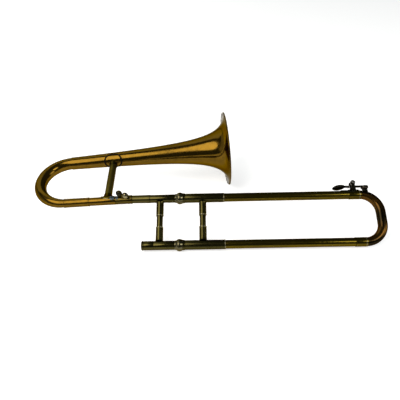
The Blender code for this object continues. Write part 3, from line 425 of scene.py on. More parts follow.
def bow_corner_highlights(g):
    """Share of brighter metal painted as highlight on the end bow, most inside its two corners."""
    along = g.vectors("DOT_PRODUCT", g.where(), SLIDE_Y)
    away = g.maths("ABSOLUTE", g.maths("SUBTRACT", along, BOW_CENTRE.dot(SLIDE_Y)))
    apart = g.vectors("DISTANCE", g.where(), BOW_CENTRE)
    inside = g.ramp(apart, HIGHLIGHT_REACH, HIGHLIGHT_REACH + HIGHLIGHT_FADE, 1.0, 0.0)
    return g.times(g.ramp(away, HIGHLIGHT_FROM, HIGHLIGHT_FULL), inside)


def aged_brass(name, bright, dull, stain, roughness, worn, edge=BRASS_EDGE, highlight_share=None):
    """Old brass: clouds of tarnish, small stains, fine polishing lines and slight dents.

    Where highlight_share is given, it tells the share of brighter metal painted as highlight.
    """
    g = Graph(name)
    clouds = g.ramp(g.noise(22.0, 6.0, 0.6, CLOUD_STRETCH, 0.6), 0.36, 0.66)
    mottle = g.ramp(g.noise(140.0, 5.0, 0.65), 0.35, 0.7)
    specks = g.ramp(g.noise(420.0, 3.0, 0.5), 0.66, 0.74)
    rubbed = g.ramp(g.noise(60.0, 3.0, 0.5, CLOUD_STRETCH), 0.4, 0.62)
    lines = g.noise(900.0, 2.0, 0.5, LINE_STRETCH)
    tarnish = g.total(g.times(clouds, 0.6), g.times(mottle, 0.4))
    colour = g.mix(tarnish, bright, dull)
    # Painted highlight: brighter metal where the given share is high
    if highlight_share:
        colour = g.mix(highlight_share(g), colour, CORNER_HIGHLIGHT_BRASS)
    colour = g.mix(g.times(specks, 0.75), colour, stain)
    rough = g.ramp(tarnish, 0.0, 1.0, roughness, roughness + worn)
    rough = g.total(rough, g.times(lines, 0.06))
    rough = g.total(rough, g.times(rubbed, -0.04))
    height = g.total(g.times(lines, 0.25), g.noise(45.0, 2.0, 0.4))
    g.bump(height, 0.05, 0.8 * MM)
    return g.set(Base_Color=colour, Roughness=rough, Metallic=1.0, Specular_Tint=(*edge, 1.0))


def worn_steel(name):
    g = Graph(name)
    rust = g.ramp(g.noise(520.0, 5.0, 0.6), 0.5, 0.7)
    lines = g.noise(2200.0, 2.0, 0.5, (0.1, 1.0, 1.0))
    colour = g.mix(rust, (0.24, 0.23, 0.21), (0.09, 0.06, 0.035))
    rough = g.total(g.ramp(rust, 0.0, 1.0, 0.28, 0.6), g.times(lines, 0.1))
    g.bump(lines, 0.08, 0.3 * MM)
    return g.set(Base_Color=colour, Roughness=rough, Metallic=1.0)


def pressed_cork(name, light, dark, pit):
    g = Graph(name)
    cells = g.add("ShaderNodeTexVoronoi", {"Vector": g.where(), "Scale": 1300.0})
    grain = g.add("ShaderNodeSeparateColor", {"Color": cells.outputs["Color"]}).outputs[0]
    pits = g.ramp(g.noise(900.0, 4.0, 0.6), 0.58, 0.68)
    colour = g.mix(pits, g.mix(grain, dark, light), pit)
    g.bump(g.maths("SUBTRACT", grain, pits), 0.25, 0.4 * MM)
    rough = g.ramp(grain, 0.0, 1.0, 0.75, 0.9)
    return g.set(Base_Color=colour, Roughness=rough, Metallic=0.0)


def soft_solder(name):
    g = Graph(name)
    dull = g.ramp(g.noise(300.0, 4.0, 0.6), 0.4, 0.65)
    colour = g.mix(dull, (0.055, 0.068, 0.075), (0.02, 0.027, 0.03))
    g.bump(g.noise(700.0, 3.0, 0.5), 0.15, 0.4 * MM)
    rough = g.ramp(dull, 0.0, 1.0, 0.3, 0.5)
    return g.set(Base_Color=colour, Roughness=rough, Metallic=1.0)


# Near-black seam finish: painted shade in the gap round the bell pad's edge
def painted_seam_shade(name):
    g = Graph(name)
    blotches = g.ramp(g.noise(650.0, 5.0, 0.6), 0.4, 0.65)
    colour = g.mix(blotches, (0.007, 0.005, 0.003), (0.003, 0.0025, 0.002))
    g.bump(blotches, 0.2, 0.3 * MM)
    rough = g.ramp(blotches, 0.0, 1.0, 0.7, 0.9)
    return g.set(Base_Color=colour, Roughness=rough, Metallic=0.0, Specular_IOR_Level=0.05)


# Bright, dull and stained colour, roughness, and how much rougher the tarnish is
POLISHED = aged_brass(
    "polished_brass", (0.135, 0.074, 0.008), (0.088, 0.050, 0.007),
    (0.02, 0.014, 0.005), 0.1, 0.12, edge=(0.45, 0.42, 0.34))
TARNISHED = aged_brass(
    "tarnished_brass", (0.110, 0.074, 0.006), (0.064, 0.046, 0.006),
    (0.015, 0.012, 0.005), 0.13, 0.12)
# Dark brass; on the bell brace's feet its darkness is painted shade
DARK_BRASS = aged_brass(
    "dark_brass", (0.068, 0.048, 0.009), (0.04, 0.03, 0.007),
    (0.012, 0.01, 0.005), 0.16, 0.14)
GREYED = aged_brass(
    "greyed_brass", (0.058, 0.049, 0.014), (0.035, 0.030, 0.009),
    (0.012, 0.011, 0.006), 0.15, 0.14)
PALE = aged_brass(
    "pale_brass", (0.12, 0.106, 0.055), (0.065, 0.057, 0.029),
    (0.02, 0.018, 0.01), 0.12, 0.13)
NEAR_BLACK = aged_brass(
    "near_black_brass", (0.03, 0.028, 0.018), (0.014, 0.013, 0.009),
    (0.007, 0.007, 0.005), 0.22, 0.18)
# End bow: brass darkened as painted shade over a lamp's reflection, with painted corner highlights
BOW_SHADE_AND_HIGHLIGHTS = aged_brass(
    "bow_painted_shade_and_highlights", (0.024, 0.017, 0.007), (0.012, 0.009, 0.005),
    (0.008, 0.007, 0.005), 0.14, 0.12, highlight_share=bow_corner_highlights)
# Paler brass whose brightness is a painted highlight: bead ticks, seam glints and the lit wing lobe
SHEEN_BRASS = aged_brass(
    "painted_sheen_brass", (0.27, 0.24, 0.135), (0.14, 0.12, 0.07),
    (0.05, 0.045, 0.03), 0.12, 0.13)
MATT = aged_brass(
    "matt_brass", (0.115, 0.088, 0.018), (0.08, 0.06, 0.013),
    (0.03, 0.024, 0.01), 0.42, 0.12)
STEEL = worn_steel("worn_steel")
CORK = pressed_cork(
    "pressed_cork", light=(0.62, 0.42, 0.24), dark=(0.46, 0.28, 0.14), pit=(0.16, 0.085, 0.04))
OLD_CORK = pressed_cork(
    "old_cork", light=(0.06, 0.042, 0.025), dark=(0.035, 0.024, 0.014), pit=(0.015, 0.01, 0.006))
SOLDER = soft_solder("soft_solder")
SEAM_SHADE = painted_seam_shade("painted_seam_shade")


# Shapes


def fresh(name, verts, faces):
    mesh = bpy.data.meshes.new(name)
    mesh.from_pydata(verts, [], faces)
    mesh.update()
    made = bpy.data.objects.new(name, mesh)
    bpy.context.scene.collection.objects.link(made)
    return made


def outward(obj):
    work = bmesh.new()
    work.from_mesh(obj.data)
    bmesh.ops.recalc_face_normals(work, faces=work.faces)
    work.to_mesh(obj.data)
    work.free()
    return obj


def welded(obj, split=False):
    """Joins corners that all but meet. With split, faces lose slivers and become triangles."""
    work = bmesh.new()
    work.from_mesh(obj.data)
    loose = [v for v in work.verts if not v.link_faces]
    bmesh.ops.delete(work, geom=loose, context="VERTS")
    bmesh.ops.remove_doubles(work, verts=work.verts, dist=MERGE)
    if split:
        bmesh.ops.dissolve_degenerate(work, edges=work.edges, dist=MERGE)
        bmesh.ops.triangulate(work, faces=work.faces)
    work.to_mesh(obj.data)
    work.free()
    return obj


def smooth(share):
    """An even start and end between 0 and 1."""
    return share * share * (3 - 2 * share)


def shares(steps):
    """Even steps from 0 to 1."""
    return [i / steps for i in range(steps + 1)]


def turns(sides):
    return [2 * pi * k / sides for k in range(sides)]


def arc(centre, radius, start, end, steps):
    """Points on an arc, angles in degrees."""
    angles = [radians(start + (end - start) * i / steps) for i in range(steps + 1)]
    return [(centre[0] + radius * cos(a), centre[1] + radius * sin(a)) for a in angles]


def eased(outline, radius=EASE):
    """The same closed outline with its sharp corners rounded."""
    made = []
    count = len(outline)
    for i, here in enumerate(outline):
        before = Vector(outline[i - 1]) - Vector(here)
        after = Vector(outline[(i + 1) % count]) - Vector(here)
        flat = here[1] < TINY or before.length < TINY or after.length < TINY
        if flat or pi - before.angle(after) < EASE_LEAST_TURN:
            made.append(here)
            continue
        cut = min(radius, before.length * EASE_MOST, after.length * EASE_MOST)
        first = Vector(here) + before.normalized() * cut
        last = Vector(here) + after.normalized() * cut
        for t in shares(EASE_STEPS):
            point = first * (1 - t) ** 2 + Vector(here) * (2 * t * (1 - t)) + last * t * t
            made.append((point.x, point.y))
    return made


def strip(first, second, sides):
    """Faces between two rings of corners, each given by its first corner."""
    after = [(k + 1) % sides for k in range(sides)]
    return [(first + k, first + n, second + n, second + k) for k, n in enumerate(after)]


def turned(name, outline, sides=MEDIUM):
    """A closed outline of (along, radius) points turned about its own x."""
    verts = []
    rings = []
    for along, radius in outline:
        if radius < TINY:
            rings.append([len(verts)] * sides)
            verts.append((along, 0.0, 0.0))
            continue
        rings.append(list(range(len(verts), len(verts) + sides)))
        verts += [(along, radius * cos(a), radius * sin(a)) for a in turns(sides)]
    faces = []
    for i, here in enumerate(rings):
        other = rings[(i + 1) % len(rings)]
        for k in range(sides):
            n = (k + 1) % sides
            corners = [here[k], here[n], other[n], other[k]]
            corners = [c for j, c in enumerate(corners) if c not in corners[:j]]
            if len(corners) > 2:
                faces.append(corners)
    return outward(fresh(name, verts, faces))


def bent(name, path, radii, wall, sides=FINE):
    """A bent tube of sheet metal, open at both ends, along a path in its own xy plane."""
    verts = []
    faces = []
    count = len(path)
    for inset in (0.0, wall):
        for i, here in enumerate(path):
            ahead = Vector(path[min(i + 1, count - 1)]) - Vector(path[max(i - 1, 0)])
            ahead.normalize()
            side = Vector((-ahead.y, ahead.x, 0.0))
            for a in turns(sides):
                out = side * cos(a) + Vector((0, 0, 1)) * sin(a)
                verts.append(Vector((*here, 0.0)) + out * (radii[i] - inset))
    for skin in (0, count):
        for i in range(skin, skin + count - 1):
            faces += strip(i * sides, (i + 1) * sides, sides)
    for i in (0, count - 1):
        faces += strip(i * sides, (count + i) * sides, sides)
    return outward(fresh(name, verts, faces))


def wire(name, path, radius, sides=12):
    """A round wire along a path, with closed ends."""
    verts = []
    faces = []
    count = len(path)
    side = (path[1] - path[0]).normalized().orthogonal().normalized()
    for i, here in enumerate(path):
        ahead = (path[min(i + 1, count - 1)] - path[max(i - 1, 0)]).normalized()
        side = (side - ahead * side.dot(ahead)).normalized()
        up = ahead.cross(side)
        verts += [here + (side * cos(a) + up * sin(a)) * radius for a in turns(sides)]
    for i in range(count - 1):
        faces += strip(i * sides, (i + 1) * sides, sides)
    faces.append(tuple(range(sides)))
    faces.append(tuple(range((count - 1) * sides, count * sides)))
    return outward(fresh(name, verts, faces))


def plate(name, outline, thickness):
    """A flat outline in its own xy plane, with its thickness shared to both sides."""
    count = len(outline)
    verts = [(x, y, way * thickness / 2) for way in (-1, 1) for x, y in outline]
    faces = [tuple(range(count)), tuple(range(count, 2 * count))] + strip(0, count, count)
    return outward(fresh(name, verts, faces))


def moved(obj, matrix):
    obj.data.transform(matrix)
    return obj


def shift(x=0.0, y=0.0, z=0.0):
    return Matrix.Translation((x, y, z))


def spin(angle, axis):
    return Matrix.Rotation(angle, 4, axis)


def applied(obj):
    """Puts the modifiers' result into the mesh."""
    bpy.context.view_layer.update()
    graph = bpy.context.evaluated_depsgraph_get()
    mesh = bpy.data.meshes.new_from_object(obj.evaluated_get(graph))
    obj.modifiers.clear()
    obj.data = mesh
    return obj


def combined(obj, other, operation):
    change = obj.modifiers.new("Combine", "BOOLEAN")
    change.operation = operation
    change.object = other
    change.solver = "EXACT"
    applied(obj)
    bpy.data.objects.remove(other)
    return obj


def softened(obj, width, segments, angle):
    """Rounds the edges that are sharper than an angle in degrees."""
    bevel = obj.modifiers.new("Soften", "BEVEL")
    bevel.width = width
    bevel.segments = segments
    bevel.limit_method = "ANGLE"
    bevel.angle_limit = radians(angle)
    bevel.use_clamp_overlap = True
    return applied(obj)


def trim(obj, at, body, material, sharp=40.0):
    """Puts a piece in its place and gives it its body and finish."""
    moved(obj, at)
    obj.data.materials.clear()
    obj.data.materials.append(material)
    obj.data.shade_smooth()
    obj.data.set_sharp_from_angle(angle=radians(sharp))
    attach(obj, body)


def piece(obj, at, material, node, sharp=40.0):
    """A finished piece that stands for its CAD node."""
    trim(obj, at, BODY[node], material, sharp)
    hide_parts(node)


def lathe(node, outline, at, material, sides=MEDIUM, ease=EASE, name=None):
    """A turned piece with eased corners that stands for its CAD node."""
    piece(turned(name or f"{node}_fine", eased(outline, ease), sides), at, material, node)


def ring(start, end, bore, radius):
    """A plain pipe's outline."""
    return [(start, radius), (end, radius), (end, bore), (start, bore)]


def solid(start, end, radius):
    """A solid rod's outline."""
    return [(start, 0.0), (start, radius), (end, radius), (end, 0.0)]


def flared(start, end, radius, flare, power, steps):
    """The flank of a foot that is wide at its start and plain at its end."""
    across = end - start
    return [(start + across * s, radius + flare * (1 - s) ** power) for s in shares(steps)]


def beaded(start, end, bore, radius):
    """A pipe's outline with a half-round bead at each end."""
    half = BEAD_LENGTH / 2
    beads = []
    for x in (start + half, end - half):
        beads += [(px, radius + pr * BEAD_RISE / half) for px, pr in arc((x, 0.0), half, 180, 0, 8)]
    return beads + [(end, bore), (start, bore)]


def bead(node, at, x, radius, length=RING_LENGTH, rise=RING_RISE):
    """A half-round ring that stands on a node's tube."""
    half = length / 2
    sunk = radius - RING_SUNK
    grow = (rise + RING_SUNK) / half
    outline = [(x + px, sunk + pr * grow) for px, pr in arc((0, 0), half, 180, 0, 10)]
    outline += [(x + half, sunk - RING_SUNK), (x - half, sunk - RING_SUNK)]
    # Its paler brass paints a bright highlight tick on each bead
    trim(turned(f"{node}_bead", outline), at, BODY[node], SHEEN_BRASS)


# Slide


def pipes():
    """Plain tubes and sleeves, each at the size that its solid has."""
    plain = (
        ("upper_outer_tube", UPPER, TARNISHED), ("lower_outer_tube", LOWER, TARNISHED),
        ("leadpipe", LOWER, TARNISHED), ("neck_tenon", NECK, TARNISHED),
        ("upper_cork", UPPER, CORK), ("lower_cork", LOWER, CORK),
    )
    for node, at, material in plain:
        lathe(node, ring(*span(node, at)), at, material)
    for side, at in LEGS:
        node = f"{side}_hand_sleeve"
        start, end, bore, radius = span(node, at)
        lathe(node, ring(start, end, bore, radius), at, GREYED)
        bead(node, at, end - SLEEVE_RING_BACK, radius)
        node = f"{side}_bow_ferrule"
        start, end, bore, radius = span(node, at)
        radius -= FERRULE_TRIM
        lathe(node, ring(start, end, bore, radius), at, TARNISHED)
        bead(node, at, end - FERRULE_RING_BACK, radius, *FERRULE_RING)


def inner_tubes():
    """The inner tubes, each with its thicker stocking at the end."""
    for side, at in LEGS:
        node = f"{side}_inner_tube"
        start, end, bore, stocking = span(node, at)
        radius = stocking - STOCKING_RISE
        slope = end - STOCKING_LENGTH - STOCKING_SLOPE
        outline = [(start, radius)]
        for share in shares(CURVE // 2):
            outline.append((slope + STOCKING_SLOPE * share, radius + STOCKING_RISE * smooth(share)))
        outline += [(end, stocking), (end, bore), (start, bore)]
        lathe(node, outline, at, PALE)


def grips():
    """The shank behind the bell socket, and the two grip sleeves."""
    start, end, bore, radius = span("socket_shank", UPPER)
    low = radius - SHANK_RIM_RISE
    outline = [(start, bore + SHANK_WALL), (end - 2 * SHANK_RIM, low)]
    outline += arc((end - SHANK_RIM, low), SHANK_RIM, 180, 0, 8)[1:]
    outline = [(x, min(r, radius)) for x, r in outline] + [(end, bore), (start, bore)]
    lathe("socket_shank", outline, UPPER, GREYED)
    start, end, bore, radius = span("upper_grip_sleeve", UPPER)
    outline = [(start, bore + GRIP_WALL), (end, radius), (end, bore), (start, bore)]
    lathe("upper_grip_sleeve", outline, UPPER, GREYED, ease=UPPER_GRIP_EASE, name="upper_grip_fine")
    outline = ring(*span("lower_grip_sleeve", LOWER))
    lathe("lower_grip_sleeve", outline, LOWER, GREYED, ease=LOWER_GRIP_EASE, name="lower_grip_fine")


def receiver():
    """The mouthpiece receiver: a rounded rim, a groove and a tapered mouth."""
    start, end, bore, rim = span("mouthpiece_receiver", LOWER)
    radius = rim - RECEIVER_RIM_RISE
    outline = arc((start + RECEIVER_RIM, rim - RECEIVER_RIM), RECEIVER_RIM, 180, 20, 12)
    outline += [(start + x * MM, radius - depth * MM) for x, depth in RECEIVER_GROOVE]
    step = end - RECEIVER_LAP
    mouth = bore + RECEIVER_MOUTH
    outline += [(end, radius), (end, SLEEVE_BORE), (step, SLEEVE_BORE), (step, bore)]
    outline += [(start + RECEIVER_LIP, mouth), (start, mouth + RECEIVER_LIP_FLARE)]
    lathe("mouthpiece_receiver", outline, LOWER, GREYED, name="receiver_fine")


def barrels():
    """Ball-shaped barrels, each with a collar facing it on the outer slide."""
    throat = SLEEVE_BORE + BARREL_THROAT_WALL
    for side, at in LEGS:
        node = f"{side}_cork_barrel"
        start, end, _, radius = span(node, at)
        bore = span(f"{side}_cork", at)[3] + SEAT
        mouth = bore + BARREL_MOUTH_WALL
        ball = start + BARREL_THROAT_LENGTH
        outline = [(start, throat), (ball - BARREL_THROAT_STEP, throat)]
        for share in shares(2 * CURVE):
            base = throat + (mouth - throat) * share
            swell = (radius - base) * sin(pi * share)
            outline.append((ball + (end - ball) * share, base + swell))
        bottom = start + BARREL_BOTTOM
        outline += [(end, bore), (bottom, bore), (bottom, SLEEVE_BORE), (start, SLEEVE_BORE)]
        lathe(node, outline, at, PALE, name=f"{side}_barrel_fine")
        node = f"{side}_end_collar"
        start, end, bore, radius = span(node, at)
        low = bore + END_COLLAR_WALL
        outline = []
        for share in shares(CURVE):
            swell = (radius - low) * cos(QUARTER * share)
            outline.append((start + (end - start) * share, low + swell))
        outline += [(end, bore), (start, bore)]
        lathe(node, outline, at, GREYED, name=f"{side}_collar_fine")


def coped(name, outline, sleeve):
    """A turned socket with a round cut in its wide end. Its x runs away from the sleeve.

    A known fault: y runs along the sleeve, so the cut doesn't follow its round and dips into it.
    """
    made = turned(name, outline)
    for vert in made.data.vertices:
        seat = sqrt(max(sleeve * sleeve - vert.co.y * vert.co.y, 0.0))
        vert.co.x = max(vert.co.x, seat)
    return made


def slide_brace(name, sleeves):
    """A rod between the slide's sleeves, in a flared socket at each end."""
    rod = f"{name}_rod"
    x = middle(rod).x
    for side, leg_at, way in (("upper", UPPER, -1), ("lower", LOWER, 1)):
        sleeve = span(f"{side}_{sleeves}", leg_at)[3] + SEAT
        at = place((x, *leg_at.translation.yz), SLIDE_Y * way, SLIDE_X)
        node = f"{name}_{side}_foot"
        _, reach, _, widest = span(node, at)
        bore = span(rod, at)[3] + SOLDER_GAP
        radius = bore + BRACE_SOCKET_WALL
        outline = flared(sleeve / 2, sleeve + BRACE_FLARE_LENGTH, radius, widest - radius,
                         BRACE_FLARE_POWER, CURVE)
        outline += [(reach, radius), (reach, bore), (sleeve / 2, bore)]
        piece(coped(f"{node}_fine", outline, sleeve), at, GREYED, node)
        bead(node, at, reach - BRACE_RING_BACK, radius, BRACE_RING_LENGTH)
    at = place((x, *UPPER.translation.yz), -SLIDE_Y, SLIDE_X)
    lathe(rod, ring(*span(rod, at)), at, GREYED)


def end_bow_path():
    """The D-shaped bow's middle line in the upper leg's axes, with the radius at each point."""
    start = span("end_bow", UPPER)[0]
    curve_x = BOW_CENTRE.x - PARTING
    path = [(start, 0.0)]
    radii = [TUBE_RADIUS]
    for turn, drop in ((0, 0.0), (1, SPACING - 2 * END_BOW_RADIUS)):
        for share in shares(END_BOW_STEPS):
            a = QUARTER * (turn + share)
            x = curve_x + END_BOW_RADIUS * sin(a)
            path.append((x, END_BOW_RADIUS * (cos(a) - 1) - drop))
            radii.append(TUBE_RADIUS + END_BOW_SWELL * sin(a))
    return path + [(start, -SPACING)], radii + [TUBE_RADIUS]


def end_bow():
    # Its dark brass is painted shade, and its brighter corners are painted highlights
    piece(bent("end_bow_fine", *end_bow_path(), END_BOW_WALL), UPPER, BOW_SHADE_AND_HIGHLIGHTS, "end_bow")


# Bell section


def bell_radius(rim, back):
    """The bell's outside: a long flare and a wide, flat lip."""
    flare = rim * BELL_FLARE_SHARE * (1 + back / BELL_FLARE_SCALE) ** -BELL_FLARE_POWER
    return flare + rim * (1 - BELL_FLARE_SHARE) * exp(-back / BELL_LIP_LENGTH)


def bell_flare():
    """The bell of thin sheet, and the wire in its rim."""
    start, _, _, rim = span("bell_flare", BELL)
    outer = []
    for share in shares(BELL_STEPS):
        back = -start * (1 - share) ** BELL_STATION_POWER
        outer.append((-back, bell_radius(rim, back)))
    inner = []
    for i, here in enumerate(outer):
        ahead = Vector(outer[min(i + 1, BELL_STEPS)]) - Vector(outer[max(i - 1, 0)])
        away = Vector((ahead.y, -ahead.x)).normalized() * BELL_WALL
        inner.append((here[0] + away.x, here[1] + away.y))
    edge = Vector(outer[-1]).lerp(Vector(inner[-1]), 0.5)
    edge.y += BELL_WALL * BELL_EDGE_SHARE
    made = turned("bell_flare_fine", outer + [(edge.x, edge.y)] + inner[::-1], 2 * FINE)
    piece(made, BELL, POLISHED, "bell_flare")
    start, end, low, high = span("bell_rim_wire", BELL)
    outline = arc(((start + end) / 2, (low + high) / 2), (end - start) / 2, 0, 337.5, 15)
    piece(turned("bell_rim_fine", outline, 2 * FINE), BELL, POLISHED, "bell_rim_wire")


def neck_radii():
    """The neck's start, end and bore, and its outer radius at the start and at the end."""
    start, end, bore, radius = span("neck_pipe", NECK)
    return start, end, bore, radius - NECK_TAPER, radius


def neck():
    start, end, bore, thin, radius = neck_radii()
    outline = [(start, thin), (end, radius), (end, bore), (start, bore)]
    lathe("neck_pipe", outline, NECK, POLISHED, FINE)
    start, end, bore, radius = span("neck_ferrule", NECK)
    made = turned("neck_ferrule_fine", beaded(start, end, bore, radius - FERRULE_TRIM), FINE)
    piece(made, NECK, POLISHED, "neck_ferrule")


def bell_bow():
    """The conical bow, from the neck's tail to the lap inside the bell's tail."""
    neck_start, _, _, thin, _ = neck_radii()
    bow_start = span("neck_ferrule", NECK)[0] + SEAT
    heading = NECK.inverted().to_3x3() @ BELL_X
    turn = pi - atan2(heading.y, heading.x)
    tail, _, _, rim = span("bell_flare", BELL)
    head = bell_radius(rim, -tail) - BELL_WALL - SOLDER_GAP
    path = [(neck_start - SEAT, 0.0)]
    radii = [thin]
    for share in shares(BELL_BOW_STEPS):
        a = turn * share
        x = bow_start - BELL_BOW_RADIUS * sin(a)
        path.append((x, BELL_BOW_RADIUS * (1 - cos(a))))
        radii.append(head - (head - thin) * (1 - share) ** 3)
    last = Vector(path[-1]) + heading.xy * BOW_LAP
    made = bent("bell_bow_fine", path + [(last.x, last.y)], radii + [head], BELL_BOW_WALL)
    piece(made, NECK, POLISHED, "bell_bow")


def oval_pad(name, radius_at, length, wrap, facing, rings=PAD_RINGS):
    """An oval plate wrapped on a tube along its own x, with a rounded edge."""
    sides = PAD_SIDES
    verts = []
    for skin in (0, 1):
        for step in shares(rings):
            share = 1 - (1 - step) ** PAD_RING_POWER
            round_off = max(0.0, (share - PAD_ROUND_FROM) / (1 - PAD_ROUND_FROM))
            height = SEAT + skin * PAD_THICKNESS * sqrt(max(1 - round_off**2, 0.0))
            for a in turns(sides):
                along = share * sin(a) * length / 2
                angle = facing + share * cos(a) * wrap
                radius = radius_at(along) + height
                verts.append((along, radius * cos(angle), radius * sin(angle)))
    faces = []
    layer = (rings + 1) * sides
    for first in (0, layer):
        for i in range(1, rings):
            faces += strip(first + i * sides, first + (i + 1) * sides, sides)
        faces.append(tuple(first + sides + k for k in range(sides)))
    faces += strip(rings * sides, layer + rings * sides, sides)
    return outward(welded(fresh(name, verts, faces)))


def seam(name, radius_at, length, wrap, facing, at, radius, material):
    """A solder bead round the edge of an oval pad, flat where it lies on the tube."""
    path = []
    for a in turns(FINE) + [2 * pi]:
        along = sin(a) * length / 2
        angle = facing + cos(a) * wrap
        reach = radius_at(along) + SEAT
        path.append(Vector((along, reach * cos(angle), reach * sin(angle))))
    made = wire(name, path, radius)
    for vert in made.data.vertices:
        least = radius_at(vert.co.x) - SEAM_DEPTH
        away = hypot(vert.co.y, vert.co.z)
        vert.co.yz = vert.co.yz * max(1.0, least / away)
    trim(made, at, "bell_section", material)


def brace_ends():
    """Where the bell brace's axis meets the neck's axis and the bell's."""
    found = points("bell_brace_rod", NECK)
    half = sum(p.y for p in found) / len(found)
    ends = []
    for way in (-1, 1):
        chosen = [p for p in found if (p.y - half) * way > 0]
        ends.append(sum(chosen, Vector()) / len(chosen))
    way = (ends[1] - ends[0]).normalized()
    on_neck = ends[0] - way * (ends[0].y / way.y)
    inverse = NECK.inverted()
    to_rim = inverse @ RIM - on_neck
    heading = inverse.to_3x3() @ BELL_X
    across = way.x * heading.y - way.y * heading.x
    reach = (to_rim.x * heading.y - to_rim.y * heading.x) / across
    return NECK @ on_neck, NECK @ (on_neck + way * reach)


def brace_foot(node, at, along, radius_at, rod):
    """A flared foot of the bell brace, cut to the tube that it stands on."""
    tilt = at.inverted().to_3x3() @ along
    low = radius_at(0.0) / 2
    top = radius_at(0.0) + BELL_FOOT_LENGTH
    bore = rod + SOLDER_GAP
    outline = flared(low, top, bore + BELL_FOOT_WALL, *BELL_FOOT_FLARE)
    foot = turned(f"{node}_fine", eased(outline + [(top, bore), (low, bore)]))
    for vert in foot.data.vertices:
        station = vert.co.y / tilt.y
        reach = radius_at(station) + SEAT
        surface = station * tilt.x + sqrt(max(reach**2 - vert.co.z**2, 0.0))
        vert.co.x = max(vert.co.x, surface)
    # The feet's dark brass is painted shade where they stand under the pads
    piece(foot, at, DARK_BRASS, node, sharp=50.0)


def bell_brace():
    """The rod between neck and bell, with a foot on an oval pad at each end, and solder."""
    on_neck, on_bell = brace_ends()
    way = (on_bell - on_neck).normalized()
    rod_at = place(on_neck, way, NECK_X)
    start, end, bore, rod = span("bell_brace_rod", rod_at)
    rod += BELL_ROD_SWELL
    lathe("bell_brace_rod", ring(start, end, bore, rod), rod_at, MATT)
    rim = span("bell_flare", BELL)[3]
    from_rim = (RIM - on_bell).length
    neck_start, neck_end, _, thin, thick = neck_radii()
    neck_x = (NECK.inverted() @ on_neck).x

    def bell_at(along):
        return bell_radius(rim, from_rim - along)

    def neck_at(along):
        return thin + (thick - thin) * (neck_x + along - neck_start) / (neck_end - neck_start)

    def pool_radius_at(along):
        return neck_at(along + NECK_POOL_AT) + NECK_POOL_RISE

    feet = (
        # The bell pad's near-black seam is a solder bead darkened as painted shade in the gap round the pad
        ("bell", on_bell, -way, BELL_X, bell_at, BELL_PAD, POLISHED, BELL_SEAM, SEAM_SHADE),
        # The neck pad's paler seam carries painted highlights along its edge
        ("neck", on_neck, way, NECK_X, neck_at, NECK_PAD, TARNISHED, NECK_SEAM, SHEEN_BRASS),
    )
    for side, origin, out, along, radius_at, oval, material, thickness, solder in feet:
        node = f"bell_brace_{side}_foot"
        brace_foot(node, place(origin, out, along), along, radius_at, rod)
        pad_at = place(origin, along, out)
        pad = oval_pad(f"{node}_pad", radius_at, *oval)
        trim(pad, pad_at, "bell_section", material, sharp=50.0)
        seam(f"{node}_seam", radius_at, *oval, pad_at, thickness, solder)
    pool = oval_pad("neck_solder_pool", pool_radius_at, *NECK_POOL)
    pool_at = place(on_neck + NECK_X * NECK_POOL_AT, NECK_X, way)
    trim(pool, pool_at, "bell_section", SOLDER)
    pool = oval_pad("socket_solder_pool", lambda along: SOCKET_RADIUS - SEAT, *SOCKET_POOL)
    pool_at = place(JOINT + NECK_X * (SOCKET_START + SOCKET_POOL_AT), NECK_X, way)
    trim(pool, pool_at, "inner_slide", SOLDER)


# Bell joint


def bell_socket():
    """The socket with its grooved collar and drilled screw boss."""
    start, end, bore, radius = SOCKET_START, SOCKET_END, SOCKET_BORE, SOCKET_RADIUS
    collar = radius + COLLAR_RISE
    half = end - COLLAR_LENGTH / 2
    wide, narrow = COLLAR_GROOVE / 2, COLLAR_GROOVE / 4
    outline = [(start, radius), (end - COLLAR_LENGTH, radius), (end - COLLAR_LENGTH, collar)]
    outline += [(half - wide, collar), (half - narrow, radius)]
    outline += [(half + narrow, radius), (half + wide, collar), (end, collar)]
    outline += [(end, bore), (start, bore)]
    socket = moved(turned("bell_socket_fine", eased(outline, SOCKET_EASE), FINE), SOCKET)
    inside = (bore + radius) / 2
    edge = BOSS_TOP - BOSS_EDGE
    outline = [(inside, 0.0), (inside, BOSS_RADIUS), (edge, BOSS_RADIUS)]
    outline += arc((edge, BOSS_RADIUS - BOSS_EDGE), BOSS_EDGE, 90, 0, 5)[1:] + [(BOSS_TOP, 0.0)]
    combined(socket, moved(turned("boss", outline, SMALL), SCREW), "UNION")
    hole = solid(bore * BOSS_HOLE_FROM, 2 * BOSS_TOP, SCREW_RADIUS + SEAT)
    combined(socket, moved(turned("boss_hole", hole, SMALL), SCREW), "DIFFERENCE")
    piece(welded(socket, split=True), STAY, DARK_BRASS, "bell_socket", sharp=32.0)


